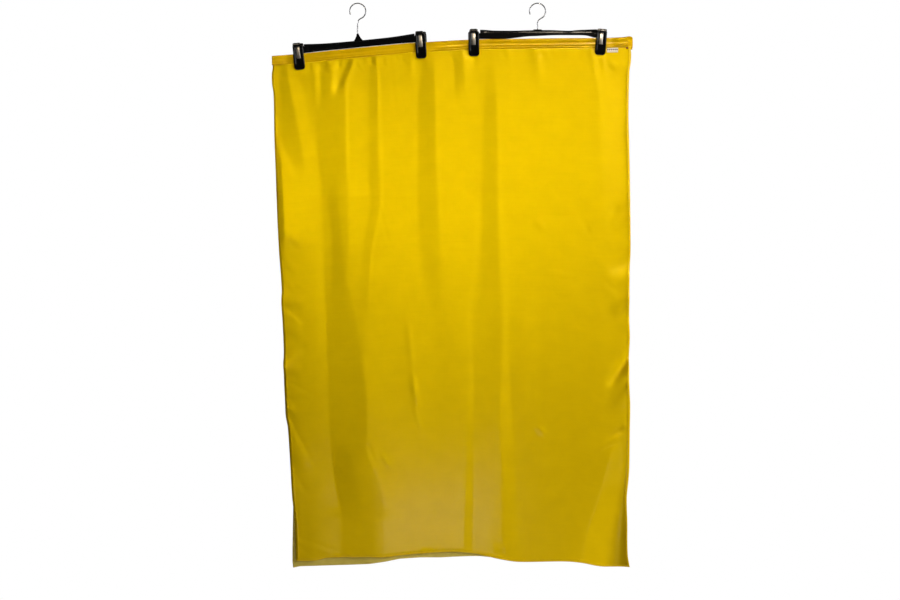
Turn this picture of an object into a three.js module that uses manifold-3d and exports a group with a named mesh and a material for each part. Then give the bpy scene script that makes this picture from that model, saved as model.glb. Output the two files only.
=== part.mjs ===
// A plain satin worship flag, hung by its pole sleeve from two trouser hangers with sprung clips.
// Millimetres, +Z up, +X to the viewer's right; the flag's face looks towards -Y.
// The origin is on the rail that the hooks hang from, above the middle of the flag.

import * as THREE from 'three';
import { mergeVertices } from 'three/addons/utils/BufferGeometryUtils.js';
import Module from 'manifold-3d';

const wasm = await Module();
wasm.setup();

// ---------------------------------------------------------------- driving dimensions

const FIT_GAP = 0.3; // the air left between two pieces that touch on the real thing
const SEAM_GAP = 0.45; // the same along the seam, whose two curves are faceted apart from each other
const CLOTH = 1.2; // thickness of each layer of satin

const FLAG_HALF_WIDTH = 458.4; // the sleeve's end, from the flag's middle
const SLEEVE_HEIGHT_LEFT = 24;
const SLEEVE_HEIGHT_RIGHT = 26;
const SLEEVE_PRESSED = 1.6; // half of the sleeve's depth where a clip presses it
const SLEEVE_SLACK = 2.6; // the same where it stands a little open between clips
const SLEEVE_MOUTH = 4.6; // the same at its open ends
const PANEL_COLUMNS = 52;
const PANEL_ROWS = 24;
const PANEL_ROW_EASE = 0.75; // crowds the panel's rows towards the seam, where the folds begin
const SLEEVE_STATIONS = 40;
const MOUTH_LENGTH = 20; // over this length the sleeve opens towards an end
const SLACK_LENGTH = 60; // over this length it opens between two clips
const PRESSED_MARGIN = 12; // the sleeve stays pressed this far past a clip's sides

const LABEL = { width: 26, height: 11, thickness: 1, x: 419.5, drop: 0.6 };

const BAR_HALF_THICKNESS = 3;
const BAR_HALF_LENGTH = 166;
const BAR_FLANGE = 3.2; // the raised edge round the bar's sunk web
const BAR_WEB_DEPTH = 1.6; // how far the web is sunk on each side
const SEAT_START = 141; // the bar is lower from here out, where a clip sits on it
const NECK_FLARE = 1.2; // how far the neck's sides bow out half way up

const WIRE_RADIUS = 1.5;
const HOOK_BEND_RADIUS = 20.6; // to the wire's middle
const SOCKET_RADIUS = WIRE_RADIUS + 0.35;
const HOOK_SOCKET_DEPTH = 7;
const SHANK_RISE = 6; // how far the shank runs on in the neck's own direction
const SHANK_BOW = 1.5; // how far the shank then leans out before it joins the bend
const BEND_STEP = 18; // degrees between the points that set the round bend

const JAW_WIDTH = 27.5;
const JAW_TAB_WIDTH = 20.5;
const JAW_TOP = 9.8; // above the clip's own origin, the spring's underside on the bar
const JAW_LENGTH = 67;
const SPRING_WIDTH = 10;
const SPRING_THICKNESS = 0.8;

// ---------------------------------------------------------------- tables

// The top edge of the sleeve, from the flag's left end to its right end.
const SLEEVE_TOP = [
  { x: -458.4, z: -135.6 },
  { x: -412, z: -131.2 },
  { x: -378, z: -128.0 },
  { x: -283, z: -117.4 },
  { x: -201, z: -109.5 },
  { x: -119, z: -101.9 },
  { x: -70, z: -98.7 },
  { x: 64, z: -91.4 },
  { x: 142, z: -90.2 },
  { x: 283, z: -88.2 },
  { x: 386, z: -87.5 },
  { x: 438, z: -85.9 },
  { x: 458.4, z: -83.4 },
];

// The panel's two upright edges, from the seam down.
const PANEL_SIDES = [
  { z: -110, left: -457.5, right: 458.0 },
  { z: -165, left: -457.0, right: 457.8 },
  { z: -232, left: -452.4, right: 457.8 },
  { z: -350, left: -450.6, right: 458.4 },
  { z: -430, left: -447.2, right: 458.8 },
  { z: -530, left: -442.9, right: 459.8 },
  { z: -634, left: -439.3, right: 461.0 },
  { z: -737, left: -432.6, right: 461.0 },
  { z: -814, left: -431.3, right: 461.4 },
  { z: -891, left: -427.5, right: 459.9 },
  { z: -1033, left: -422.3, right: 462.6 },
  { z: -1092, left: -415.1, right: 461.8 },
  { z: -1200, left: -410.5, right: 460.4 },
  { z: -1270, left: -405.5, right: 453.4 },
  { z: -1340, left: -399.1, right: 456.0 },
  { z: -1449, left: -395.8, right: 462.5 },
];

// The bottom hem, lifted in the middle where the folds take up cloth.
const PANEL_BOTTOM = [
  { x: -396, z: -1434 },
  { x: -347, z: -1433 },
  { x: -315, z: -1426 },
  { x: -215, z: -1424 },
  { x: -116, z: -1418 },
  { x: 0, z: -1410 },
  { x: 64, z: -1414 },
  { x: 142, z: -1428 },
  { x: 180, z: -1433 },
  { x: 296, z: -1433 },
  { x: 378, z: -1446 },
  { x: 462, z: -1449 },
];

// The main upright folds. Each is a ridge towards the viewer. Its place and its depth are given at
// four levels from the seam to the hem; `rise` and `fall` are the widths of its left and right sides.
const FOLDS = [
  { name: 'left margin', at: [-378, -372, -372, -366], depth: [9, 7, 6, 8], rise: 62, fall: 46 },
  { name: 'under clip one', at: [-268, -256, -226, -208], depth: [9, 15, 17, 13], rise: 88, fall: 60 },
  { name: 'left hanger middle', at: [-178, -190, -176, -160], depth: [7, 9, 4, 3], rise: 40, fall: 44 },
  { name: 'under clip two', at: [-34, -36, -30, -30], depth: [8, 10, 4, 4], rise: 50, fall: 66 },
  { name: 'between hangers', at: [66, 62, 56, 54], depth: [4, 5, 7, 10], rise: 50, fall: 34 },
  { name: 'under clip three', at: [126, 128, 146, 146], depth: [8, 9, 9, 12], rise: 48, fall: 60 },
  { name: 'right hanger middle', at: [240, 228, 220, 216], depth: [3, 3, 5, 7], rise: 70, fall: 90 },
  { name: 'right margin', at: [412, 408, 404, 396], depth: [3, 6, 9, 13], rise: 70, fall: 48 },
];
const FOLD_START = 26; // below the seam, where the clips' tips let the cloth go
const FOLD_FULL = 120; // below the seam, where the folds have their full depth
const BELLY = 9; // how far the middle of the hanging cloth stands forward of its sides

// The two hangers. Heights are measured from the foot of the hook, up the bar's own axis.
const HANGERS = [
  {
    name: 'left',
    x: -237.7,
    z: -77.5,
    tilt: 5.5,
    seat: -19.3,
    neck: { halfTop: 2.9, halfBase: 11.5 },
    top: [[-141, -13.2], [-95, -16.2], [-45, -17.2], [45, -17.2], [95, -16.2], [141, -13.2]],
    bottom: [[-166, -35.8], [-141, -35.6], [-100, -34.5], [100, -34.5], [141, -35.6], [166, -35.8]],
    clips: [
      { name: 'clip_1', along: -153.5, lean: 6.3, tabShift: -2.6, backShift: 1.2 },
      { name: 'clip_2', along: 162.0, lean: 3.0, tabShift: -2.4, backShift: 2.2 },
    ],
  },
  {
    name: 'right',
    x: 225.3,
    z: -65.9,
    tilt: 0,
    seat: -9.8,
    neck: { halfTop: 9.5, halfBase: 12.5 },
    top: [[-141, -1.6], [-110, -3.2], [-60, -4.4], [60, -4.6], [110, -2.8], [141, -0.9]],
    bottom: [[-166, -23.0], [-85, -22.9], [-20, -17.0], [45, -13.8], [88, -13.0], [128, -13.6], [143, -17.0], [150, -20.6], [166, -20.6]],
    clips: [
      { name: 'clip_3', along: -164.3, lean: 0.9, tabShift: 0, backShift: -0.8 },
      { name: 'clip_4', along: 165.0, lean: -4.5, tabShift: 0.6, backShift: 0.8 },
    ],
  },
];

// ---------------------------------------------------------------- materials

const satin = new THREE.MeshStandardMaterial({ name: 'satin', color: '#d9b400', roughness: 0.45, metalness: 0 });
const sleeveSatin = new THREE.MeshStandardMaterial({ name: 'sleeve satin', color: '#cf9f06', roughness: 0.5, metalness: 0 });
const wovenTape = new THREE.MeshStandardMaterial({ name: 'woven tape', color: '#efe9dc', roughness: 0.8, metalness: 0 });
const blackPlastic = new THREE.MeshStandardMaterial({ name: 'black plastic', color: '#0b0b0c', roughness: 0.25, metalness: 0 });
const wireSteel = new THREE.MeshStandardMaterial({ name: 'plated wire', color: '#c9c9c9', roughness: 0.2, metalness: 1 });
const springSteel = new THREE.MeshStandardMaterial({ name: 'spring steel', color: '#b9b6b0', roughness: 0.25, metalness: 1 });

// ---------------------------------------------------------------- helpers

const worshipFlag = new THREE.Group();

function addPiece(name, geometry, material, parent = worshipFlag) {
  const mesh = new THREE.Mesh(geometry, material.clone());
  mesh.name = name;
  parent.add(mesh);
  return mesh;
}

function toSolid(geometry) {
  const bare = geometry.clone();
  bare.deleteAttribute('normal');
  bare.deleteAttribute('uv');
  const welded = mergeVertices(bare, 1e-4);
  return new wasm.Manifold(new wasm.Mesh({
    numProp: 3,
    vertProperties: new Float32Array(welded.attributes.position.array),
    triVerts: new Uint32Array(welded.index.array),
  }));
}

function toGeometry(solid) {
  const { vertProperties, triVerts } = solid.getMesh();
  const geometry = new THREE.BufferGeometry();
  geometry.setAttribute('position', new THREE.BufferAttribute(new Float32Array(vertProperties), 3));
  geometry.setIndex(new THREE.BufferAttribute(new Uint32Array(triVerts), 1));
  geometry.computeVertexNormals();
  return geometry;
}

// A soft line through a table's rows, read at one place along it.
function readTable(rows, along, key, place) {
  const last = rows.length - 1;
  if (place <= Math.min(rows[0][along], rows[last][along])) {
    return rows[0][along] < rows[last][along] ? rows[0][key] : rows[last][key];
  }
  if (place >= Math.max(rows[0][along], rows[last][along])) {
    return rows[0][along] > rows[last][along] ? rows[0][key] : rows[last][key];
  }
  let i = 0;
  while ((place - rows[i][along]) * (place - rows[i + 1][along]) > 0) i += 1;
  const span = rows[i + 1][along] - rows[i][along];
  const slope = (a, b) => (rows[b][key] - rows[a][key]) / (rows[b][along] - rows[a][along]);
  const m0 = slope(Math.max(i - 1, 0), i + 1) * span;
  const m1 = slope(i, Math.min(i + 2, last)) * span;
  const t = (place - rows[i][along]) / span;
  const t2 = t * t;
  const t3 = t2 * t;
  return (2 * t3 - 3 * t2 + 1) * rows[i][key] + (t3 - 2 * t2 + t) * m0
    + (3 * t2 - 2 * t3) * rows[i + 1][key] + (t3 - t2) * m1;
}

// A soft line through evenly spaced values, with t from 0 to 1.
function readLevels(values, t) {
  const rows = values.map((value, i) => ({ at: i / (values.length - 1), value }));
  return readTable(rows, 'at', 'value', t);
}

const smooth = (t) => THREE.MathUtils.smoothstep(t, 0, 1);

// A closed solid between two grids of points that share their rim. `front` and `back` give a point
// for each column and row.
function gridSolid(columns, rows, front, back) {
  const points = [];
  for (const side of [front, back]) {
    for (let r = 0; r <= rows; r += 1) {
      for (let c = 0; c <= columns; c += 1) points.push(...side(c / columns, r / rows));
    }
  }
  const sheet = (columns + 1) * (rows + 1);
  const at = (side, c, r) => side * sheet + r * (columns + 1) + c;
  const index = [];
  const quad = (a, b, c, d) => index.push(a, b, c, a, c, d);
  for (let r = 0; r < rows; r += 1) {
    for (let c = 0; c < columns; c += 1) {
      quad(at(0, c, r), at(0, c, r + 1), at(0, c + 1, r + 1), at(0, c + 1, r));
      quad(at(1, c, r), at(1, c + 1, r), at(1, c + 1, r + 1), at(1, c, r + 1));
    }
  }
  for (let c = 0; c < columns; c += 1) {
    quad(at(0, c, 0), at(0, c + 1, 0), at(1, c + 1, 0), at(1, c, 0));
    quad(at(0, c, rows), at(1, c, rows), at(1, c + 1, rows), at(0, c + 1, rows));
  }
  for (let r = 0; r < rows; r += 1) {
    quad(at(0, 0, r), at(1, 0, r), at(1, 0, r + 1), at(0, 0, r + 1));
    quad(at(0, columns, r), at(0, columns, r + 1), at(1, columns, r + 1), at(1, columns, r));
  }
  const geometry = new THREE.BufferGeometry();
  geometry.setAttribute('position', new THREE.BufferAttribute(new Float32Array(points), 3));
  geometry.setIndex(index);
  geometry.computeVertexNormals();
  return geometry;
}

// ---------------------------------------------------------------- the flag

const sleeveTop = (x) => readTable(SLEEVE_TOP, 'x', 'z', x);

function sleeveBottom(x) {
  const across = (x + FLAG_HALF_WIDTH) / (2 * FLAG_HALF_WIDTH);
  return sleeveTop(x) - THREE.MathUtils.lerp(SLEEVE_HEIGHT_LEFT, SLEEVE_HEIGHT_RIGHT, across);
}

// How far the cloth stands back (+) or forward (-) of the clips' plane.
function clothDepth(x, z) {
  const below = sleeveBottom(x) - z;
  const down = THREE.MathUtils.clamp(below / 1290, 0, 1);
  const freed = smooth((below - FOLD_START) / (FOLD_FULL - FOLD_START));
  let depth = 0;
  for (const fold of FOLDS) {
    const ridge = readLevels(fold.at, down);
    const offset = x - ridge;
    const reach = offset < 0 ? 1 + offset / fold.rise : 1 - offset / fold.fall;
    if (reach > 0) depth -= readLevels(fold.depth, down) * smooth(reach);
  }
  const middle = 1 - (x / FLAG_HALF_WIDTH) ** 2;
  depth -= BELLY * middle * smooth(below / 900);
  return depth * freed;
}

function panelPoint(u, level, side) {
  const v = THREE.MathUtils.lerp(level, level * level, PANEL_ROW_EASE);
  const nominal = THREE.MathUtils.lerp(-FLAG_HALF_WIDTH, FLAG_HALF_WIDTH, u);
  const top = sleeveBottom(nominal) - SEAM_GAP;
  const hem = readTable(PANEL_BOTTOM, 'x', 'z', THREE.MathUtils.lerp(-396, 462, u));
  const z = THREE.MathUtils.lerp(top, hem, v);
  const left = readTable(PANEL_SIDES, 'z', 'left', z);
  const right = readTable(PANEL_SIDES, 'z', 'right', z);
  const x = THREE.MathUtils.lerp(left, right, u);
  return [x, clothDepth(x, z) + (side * CLOTH) / 2, z];
}

addPiece('satin_panel', gridSolid(
  PANEL_COLUMNS,
  PANEL_ROWS,
  (u, v) => panelPoint(u, v, -1),
  (u, v) => panelPoint(u, v, 1),
), satin);

const CLIP_PLACES = HANGERS.flatMap((hanger) => hanger.clips.map((clip) => hanger.x + clip.along));

// Half the sleeve's depth: pressed at the clips, slack between them, open at its two mouths.
function sleeveHalfDepth(x) {
  const nearest = Math.min(...CLIP_PLACES.map((place) => Math.abs(x - place)));
  const outside = x < CLIP_PLACES[0] || x > CLIP_PLACES[CLIP_PLACES.length - 1];
  const open = outside ? SLEEVE_MOUTH : SLEEVE_SLACK;
  const freeLength = outside ? MOUTH_LENGTH : SLACK_LENGTH;
  return THREE.MathUtils.lerp(SLEEVE_PRESSED, open, smooth((nearest - JAW_WIDTH / 2 - PRESSED_MARGIN) / freeLength));
}

// The sleeve is one flattened tube of cloth, open at both ends. `SLEEVE_SECTION` is its cross
// section: each row's depth and height are shares of its half depth and of its height.
const SLEEVE_SECTION = [
  { depth: 0, height: 1 },
  { depth: -0.62, height: 0.95 },
  { depth: -1, height: 0.78 },
  { depth: -1, height: 0.5 },
  { depth: -1, height: 0.22 },
  { depth: -0.62, height: 0.05 },
  { depth: 0, height: 0 },
  { depth: 0.62, height: 0.05 },
  { depth: 1, height: 0.22 },
  { depth: 1, height: 0.5 },
  { depth: 1, height: 0.78 },
  { depth: 0.62, height: 0.95 },
];

function sleeveGeometry() {
  const ring = SLEEVE_SECTION.length;
  const points = [];
  for (let s = 0; s <= SLEEVE_STATIONS; s += 1) {
    const x = THREE.MathUtils.lerp(-FLAG_HALF_WIDTH, FLAG_HALF_WIDTH, s / SLEEVE_STATIONS);
    const half = sleeveHalfDepth(x);
    const [top, bottom] = [sleeveTop(x), sleeveBottom(x)];
    for (const wall of [0, CLOTH]) {
      for (const { depth, height } of SLEEVE_SECTION) {
        points.push(x, depth * (half - wall), THREE.MathUtils.lerp(bottom + wall, top - wall, height));
      }
    }
  }
  const at = (s, wall, k) => (s * 2 + wall) * ring + (k % ring);
  const index = [];
  const quad = (a, b, c, d) => index.push(a, b, c, a, c, d);
  for (let k = 0; k < ring; k += 1) {
    for (let s = 0; s < SLEEVE_STATIONS; s += 1) {
      quad(at(s, 0, k), at(s, 0, k + 1), at(s + 1, 0, k + 1), at(s + 1, 0, k));
      quad(at(s, 1, k), at(s + 1, 1, k), at(s + 1, 1, k + 1), at(s, 1, k + 1));
    }
    quad(at(0, 0, k), at(0, 1, k), at(0, 1, k + 1), at(0, 0, k + 1));
    const end = SLEEVE_STATIONS;
    quad(at(end, 0, k), at(end, 0, k + 1), at(end, 1, k + 1), at(end, 1, k));
  }
  const geometry = new THREE.BufferGeometry();
  geometry.setAttribute('position', new THREE.BufferAttribute(new Float32Array(points), 3));
  geometry.setIndex(index);
  geometry.computeVertexNormals();
  return geometry;
}

addPiece('pole_sleeve', sleeveGeometry(), sleeveSatin);

const label = addPiece(
  'sewn_label',
  new THREE.BoxGeometry(LABEL.width, LABEL.thickness, LABEL.height),
  wovenTape,
);
label.position.set(
  LABEL.x,
  -CLOTH / 2 - FIT_GAP - LABEL.thickness / 2,
  sleeveBottom(LABEL.x) - LABEL.drop - LABEL.height / 2,
);

// ---------------------------------------------------------------- hangers

const toPoints = (rows) => rows.map(([x, z]) => new THREE.Vector2(x, z));

// The bar's face: bottom line, seats for the clips at both ends, top line, and the hook's neck.
function barShape(hanger) {
  const { seat, neck } = hanger;
  const top = toPoints(hanger.top);
  const middle = top.length / 2;
  const neckFoot = hanger.top[middle][1];
  const shape = new THREE.Shape();
  const bottom = toPoints(hanger.bottom);
  shape.moveTo(bottom[0].x, bottom[0].y);
  bottom.slice(1).forEach((point) => shape.lineTo(point.x, point.y));
  shape.lineTo(BAR_HALF_LENGTH, seat);
  shape.lineTo(SEAT_START, seat);
  top.slice(middle).reverse().forEach((point) => shape.lineTo(point.x, point.y));
  shape.lineTo(neck.halfBase, neckFoot);
  shape.quadraticCurveTo(neck.halfTop + NECK_FLARE, neckFoot / 2, neck.halfTop, 0);
  shape.lineTo(-neck.halfTop, 0);
  shape.quadraticCurveTo(-neck.halfTop - NECK_FLARE, neckFoot / 2, -neck.halfBase, neckFoot);
  top.slice(0, middle).reverse().forEach((point) => shape.lineTo(point.x, point.y));
  shape.lineTo(-SEAT_START, seat);
  shape.lineTo(-BAR_HALF_LENGTH, seat);
  shape.closePath();
  return shape;
}

// A 2-D shape in the X-Z plane, thickened along Y between two depths.
function slab(shape, nearY, farY) {
  const geometry = new THREE.ExtrudeGeometry(shape, { depth: farY - nearY, bevelEnabled: false, curveSegments: 3 });
  geometry.rotateX(Math.PI / 2);
  geometry.translate(0, farY, 0);
  return geometry;
}

// The sunk web between the bar's flanges: a strip that follows the bar between its seats.
function webShape(hanger) {
  const lineAt = (rows, x) => {
    const table = rows.map(([at, z]) => ({ at, z }));
    return readTable(table, 'at', 'z', x);
  };
  const reach = SEAT_START - BAR_FLANGE;
  const steps = 12;
  const shape = new THREE.Shape();
  for (let i = 0; i <= steps; i += 1) {
    const x = THREE.MathUtils.lerp(-reach, reach, i / steps);
    const z = lineAt(hanger.bottom, x) + BAR_FLANGE;
    if (i === 0) shape.moveTo(x, z);
    else shape.lineTo(x, z);
  }
  for (let i = steps; i >= 0; i -= 1) {
    const x = THREE.MathUtils.lerp(-reach, reach, i / steps);
    shape.lineTo(x, lineAt(hanger.top, x) - BAR_FLANGE);
  }
  shape.closePath();
  return shape;
}

function barGeometry(hanger) {
  const body = toSolid(slab(barShape(hanger), -BAR_HALF_THICKNESS, BAR_HALF_THICKNESS));
  const web = webShape(hanger);
  const outside = BAR_HALF_THICKNESS + 1;
  const floor = BAR_HALF_THICKNESS - BAR_WEB_DEPTH;
  const socket = new THREE.CylinderGeometry(SOCKET_RADIUS, SOCKET_RADIUS, HOOK_SOCKET_DEPTH + 1, 16);
  socket.rotateX(Math.PI / 2);
  socket.translate(0, 0, (1 - HOOK_SOCKET_DEPTH) / 2);
  return toGeometry(body
    .subtract(toSolid(slab(web, -outside, -floor)))
    .subtract(toSolid(slab(web, floor, outside)))
    .subtract(toSolid(socket)));
}

// The hook: a straight shank, a bend out to the right and a round bend over the rail, in one wire.
// It is made upright in the flag's frame, so both hooks sit on one level rail.
function hookGeometry(hanger) {
  const crown = WIRE_RADIUS - HOOK_BEND_RADIUS; // the height of the bend's middle
  const tilt = THREE.MathUtils.degToRad(hanger.tilt);
  const onShank = (rise) => new THREE.Vector3(
    hanger.x - rise * Math.sin(tilt),
    0,
    hanger.z + rise * Math.cos(tilt),
  );
  const path = [
    onShank(FIT_GAP - HOOK_SOCKET_DEPTH),
    onShank(0),
    onShank(SHANK_RISE),
    new THREE.Vector3(hanger.x + SHANK_BOW, 0, crown - HOOK_BEND_RADIUS - 3 * WIRE_RADIUS),
  ];
  for (let turn = -48; turn <= 204; turn += BEND_STEP) {
    const angle = THREE.MathUtils.degToRad(turn);
    path.push(new THREE.Vector3(
      hanger.x + HOOK_BEND_RADIUS * Math.cos(angle),
      0,
      crown + HOOK_BEND_RADIUS * Math.sin(angle),
    ));
  }
  const wire = new THREE.Shape();
  wire.absarc(0, 0, WIRE_RADIUS, 0, 2 * Math.PI, false);
  return new THREE.ExtrudeGeometry(wire, {
    steps: 40,
    curveSegments: 4,
    extrudePath: new THREE.CatmullRomCurve3(path),
  });
}

// ---------------------------------------------------------------- clips

// A front jaw's side view, with depth in x and height in y: the finger tab leans out at the top, the
// middle bears on the bar, and the tip closes on the cloth.
function jawSection() {
  const section = new THREE.Shape();
  section.moveTo(-5.6, JAW_TOP);
  section.lineTo(-5.2, 2.5);
  section.lineTo(-3.5, -1.5);
  section.lineTo(-3.5, -17.5);
  section.lineTo(-2.05, -19.5);
  section.lineTo(-2.05, -43.2);
  section.lineTo(-0.95, -45.4);
  section.lineTo(-0.95, -54.5);
  section.quadraticCurveTo(-1.1, JAW_TOP - JAW_LENGTH, -2.8, JAW_TOP - JAW_LENGTH);
  section.quadraticCurveTo(-5.2, JAW_TOP - JAW_LENGTH, -5.8, -52);
  section.quadraticCurveTo(-9.2, -30, -9.4, -12);
  section.lineTo(-9.4, 3);
  section.quadraticCurveTo(-9.4, JAW_TOP, -7.6, JAW_TOP);
  section.closePath();
  return section;
}

// The jaw's front view: a narrower tab with shoulders, straight sides and a round-cornered tip.
function jawFace(tabShift) {
  const half = JAW_WIDTH / 2;
  const tab = JAW_TAB_WIDTH / 2;
  const tip = JAW_TOP - JAW_LENGTH;
  const face = new THREE.Shape();
  face.moveTo(-half + 3.2, tip);
  face.lineTo(half - 3.2, tip);
  face.quadraticCurveTo(half, tip, half, tip + 4.5);
  face.lineTo(half, 0);
  face.lineTo(half - 0.8, 2);
  face.quadraticCurveTo(tab + tabShift + 1, 3.4, tab + tabShift, JAW_TOP - 2);
  face.quadraticCurveTo(tab + tabShift, JAW_TOP, tab + tabShift - 2.4, JAW_TOP);
  face.lineTo(-tab + tabShift + 2.4, JAW_TOP);
  face.quadraticCurveTo(-tab + tabShift, JAW_TOP, -tab + tabShift, JAW_TOP - 2);
  face.quadraticCurveTo(-tab + tabShift - 1, 3.4, -half + 0.8, 2);
  face.lineTo(-half, 0);
  face.lineTo(-half, tip + 4.5);
  face.quadraticCurveTo(-half, tip, -half + 3.2, tip);
  return face;
}

const JAW_PANEL = { halfWidth: 8.6, top: -0.6, bottom: -37, floor: -7.1 }; // the sunk face round the spring
const JAW_SLOT = { halfWidth: 5.6, top: 4.2, bottom: -5.5 }; // the spring passes in through this

function box(middle, halfWidth, nearY, farY, low, high) {
  const geometry = new THREE.BoxGeometry(2 * halfWidth, farY - nearY, high - low);
  geometry.translate(middle, (nearY + farY) / 2, (low + high) / 2);
  return geometry;
}

// One jaw, looking towards -Y. The section's depth turns to Y, its height to Z and its run to X.
function jaw(tabShift, slotShift) {
  const side = new THREE.ExtrudeGeometry(jawSection(), { depth: JAW_WIDTH + 2, bevelEnabled: false, curveSegments: 3 });
  side.translate(0, 0, -JAW_WIDTH / 2 - 1);
  const turn = new THREE.Matrix4().makeBasis(
    new THREE.Vector3(0, 1, 0),
    new THREE.Vector3(0, 0, 1),
    new THREE.Vector3(1, 0, 0),
  );
  side.applyMatrix4(turn);
  const face = slab(jawFace(tabShift), -12, 0);
  return toSolid(side)
    .intersect(toSolid(face))
    .subtract(toSolid(box(slotShift, JAW_PANEL.halfWidth, -12, JAW_PANEL.floor, JAW_PANEL.bottom, JAW_PANEL.top)))
    .subtract(toSolid(box(slotShift, JAW_SLOT.halfWidth, -12, 0, JAW_SLOT.bottom, JAW_SLOT.top)));
}

// The spring's side view: a strip that lies on both jaws and bends over the bar between them.
function springGeometry() {
  const halfLine = [[-7.9, -29.5], [-8.3, -22], [-8.35, -13], [-8.1, -6], [-6.6, -1.2], [-4.2, 0.35], [-1.6, 0.4]];
  const centre = [...halfLine, ...halfLine.map(([y, z]) => [-y, z]).reverse()];
  const curve = new THREE.CatmullRomCurve3(centre.map(([y, z]) => new THREE.Vector3(0, y, z)));
  const strip = new THREE.Shape();
  strip.moveTo(-SPRING_WIDTH / 2, -SPRING_THICKNESS / 2);
  strip.lineTo(SPRING_WIDTH / 2, -SPRING_THICKNESS / 2);
  strip.lineTo(SPRING_WIDTH / 2, SPRING_THICKNESS / 2);
  strip.lineTo(-SPRING_WIDTH / 2, SPRING_THICKNESS / 2);
  strip.closePath();
  return new THREE.ExtrudeGeometry(strip, { steps: 24, extrudePath: curve });
}

function addClip(clip, hanger, hangerGroup) {
  const group = new THREE.Group();
  const carriedOn = hanger.seat + FIT_GAP + 0.35;
  group.position.set(clip.along, 0, carriedOn);
  group.rotation.y = -THREE.MathUtils.degToRad(clip.lean - hanger.tilt);
  hangerGroup.add(group);

  addPiece(`${clip.name}_front_jaw`, toGeometry(jaw(clip.tabShift, 0)), blackPlastic, group);
  const back = toGeometry(jaw(-clip.tabShift, clip.backShift));
  back.rotateZ(Math.PI);
  addPiece(`${clip.name}_back_jaw`, back, blackPlastic, group).position.x = clip.backShift;
  addPiece(`${clip.name}_spring`, springGeometry(), springSteel, group);
}

for (const hanger of HANGERS) {
  const group = new THREE.Group();
  group.position.set(hanger.x, 0, hanger.z);
  group.rotation.y = -THREE.MathUtils.degToRad(hanger.tilt);
  worshipFlag.add(group);
  addPiece(`${hanger.name}_bar`, barGeometry(hanger), blackPlastic, group);
  addPiece(`${hanger.name}_hook`, hookGeometry(hanger), wireSteel);
  hanger.clips.forEach((clip) => addClip(clip, hanger, group));
}

export default worshipFlag;
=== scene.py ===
import math

import bmesh
import bpy
import numpy as np
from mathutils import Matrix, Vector


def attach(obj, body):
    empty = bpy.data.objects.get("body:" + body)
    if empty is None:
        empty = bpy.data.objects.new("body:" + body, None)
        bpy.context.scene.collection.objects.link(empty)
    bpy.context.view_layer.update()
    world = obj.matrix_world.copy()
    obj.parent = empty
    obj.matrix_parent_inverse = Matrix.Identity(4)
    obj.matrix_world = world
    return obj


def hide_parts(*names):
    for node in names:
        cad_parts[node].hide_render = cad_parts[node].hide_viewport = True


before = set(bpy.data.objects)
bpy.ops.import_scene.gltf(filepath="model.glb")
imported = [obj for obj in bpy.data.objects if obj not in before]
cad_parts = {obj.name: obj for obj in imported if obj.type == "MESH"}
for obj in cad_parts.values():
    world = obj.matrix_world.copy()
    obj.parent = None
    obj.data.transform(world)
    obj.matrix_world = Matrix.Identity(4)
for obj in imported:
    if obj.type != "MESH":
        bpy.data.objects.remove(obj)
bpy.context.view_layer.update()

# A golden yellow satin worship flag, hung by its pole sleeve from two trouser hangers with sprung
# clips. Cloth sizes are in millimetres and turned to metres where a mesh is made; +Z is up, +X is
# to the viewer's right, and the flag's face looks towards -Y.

MM = 0.001

# ------------------------------------------------------------------ sizes of the flag

HALF_WIDTH = 458.4  # the sleeve's end, from the flag's middle
PANEL_DROP = 1290.0  # about how far the panel hangs, for turning a depth into a share of it
PANEL_FLAT = (0.914, 1.347)  # the panel laid flat, across and down, in metres
CLOTH = 0.9  # the visible thickness of one layer
HEM = 7.0  # the narrow turned hem on three sides
HEM_RISE = 0.45  # how far its extra layers stand forward
HEM_STEP = 2.5  # the width over which they rise
HEM_ROLL = 1.8  # how far its folded edge rolls back
HEM_ROLL_WIDTH = 3.5  # the width of that roll
LEFT_CURL_WIDTH = 7  # the width over which the left edge curls back
SLEEVE_LEFT = 24.0  # the sleeve's height at its two ends
SLEEVE_RIGHT = 26.0
SEAM_TUCK = 0.6  # how far the panel's top reaches up between the sleeve's two lips
SLEEVE_PRESSED = 1.5  # half of the sleeve's depth where a clip presses it
SLEEVE_SLACK = 3.2  # the same where it stands a little open between clips
SLEEVE_MOUTH = 4.6  # the same at its open ends
BACK_REACH = 13.5  # how far the sleeve's back layer sticks out past its front at the right end
BACK_DROP = 11.0  # and how far it hangs below it there
CLIP_MIDDLES = [-391.2, -75.7, 61.0, 390.3]  # where the four clips' jaws close on the sleeve

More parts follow.
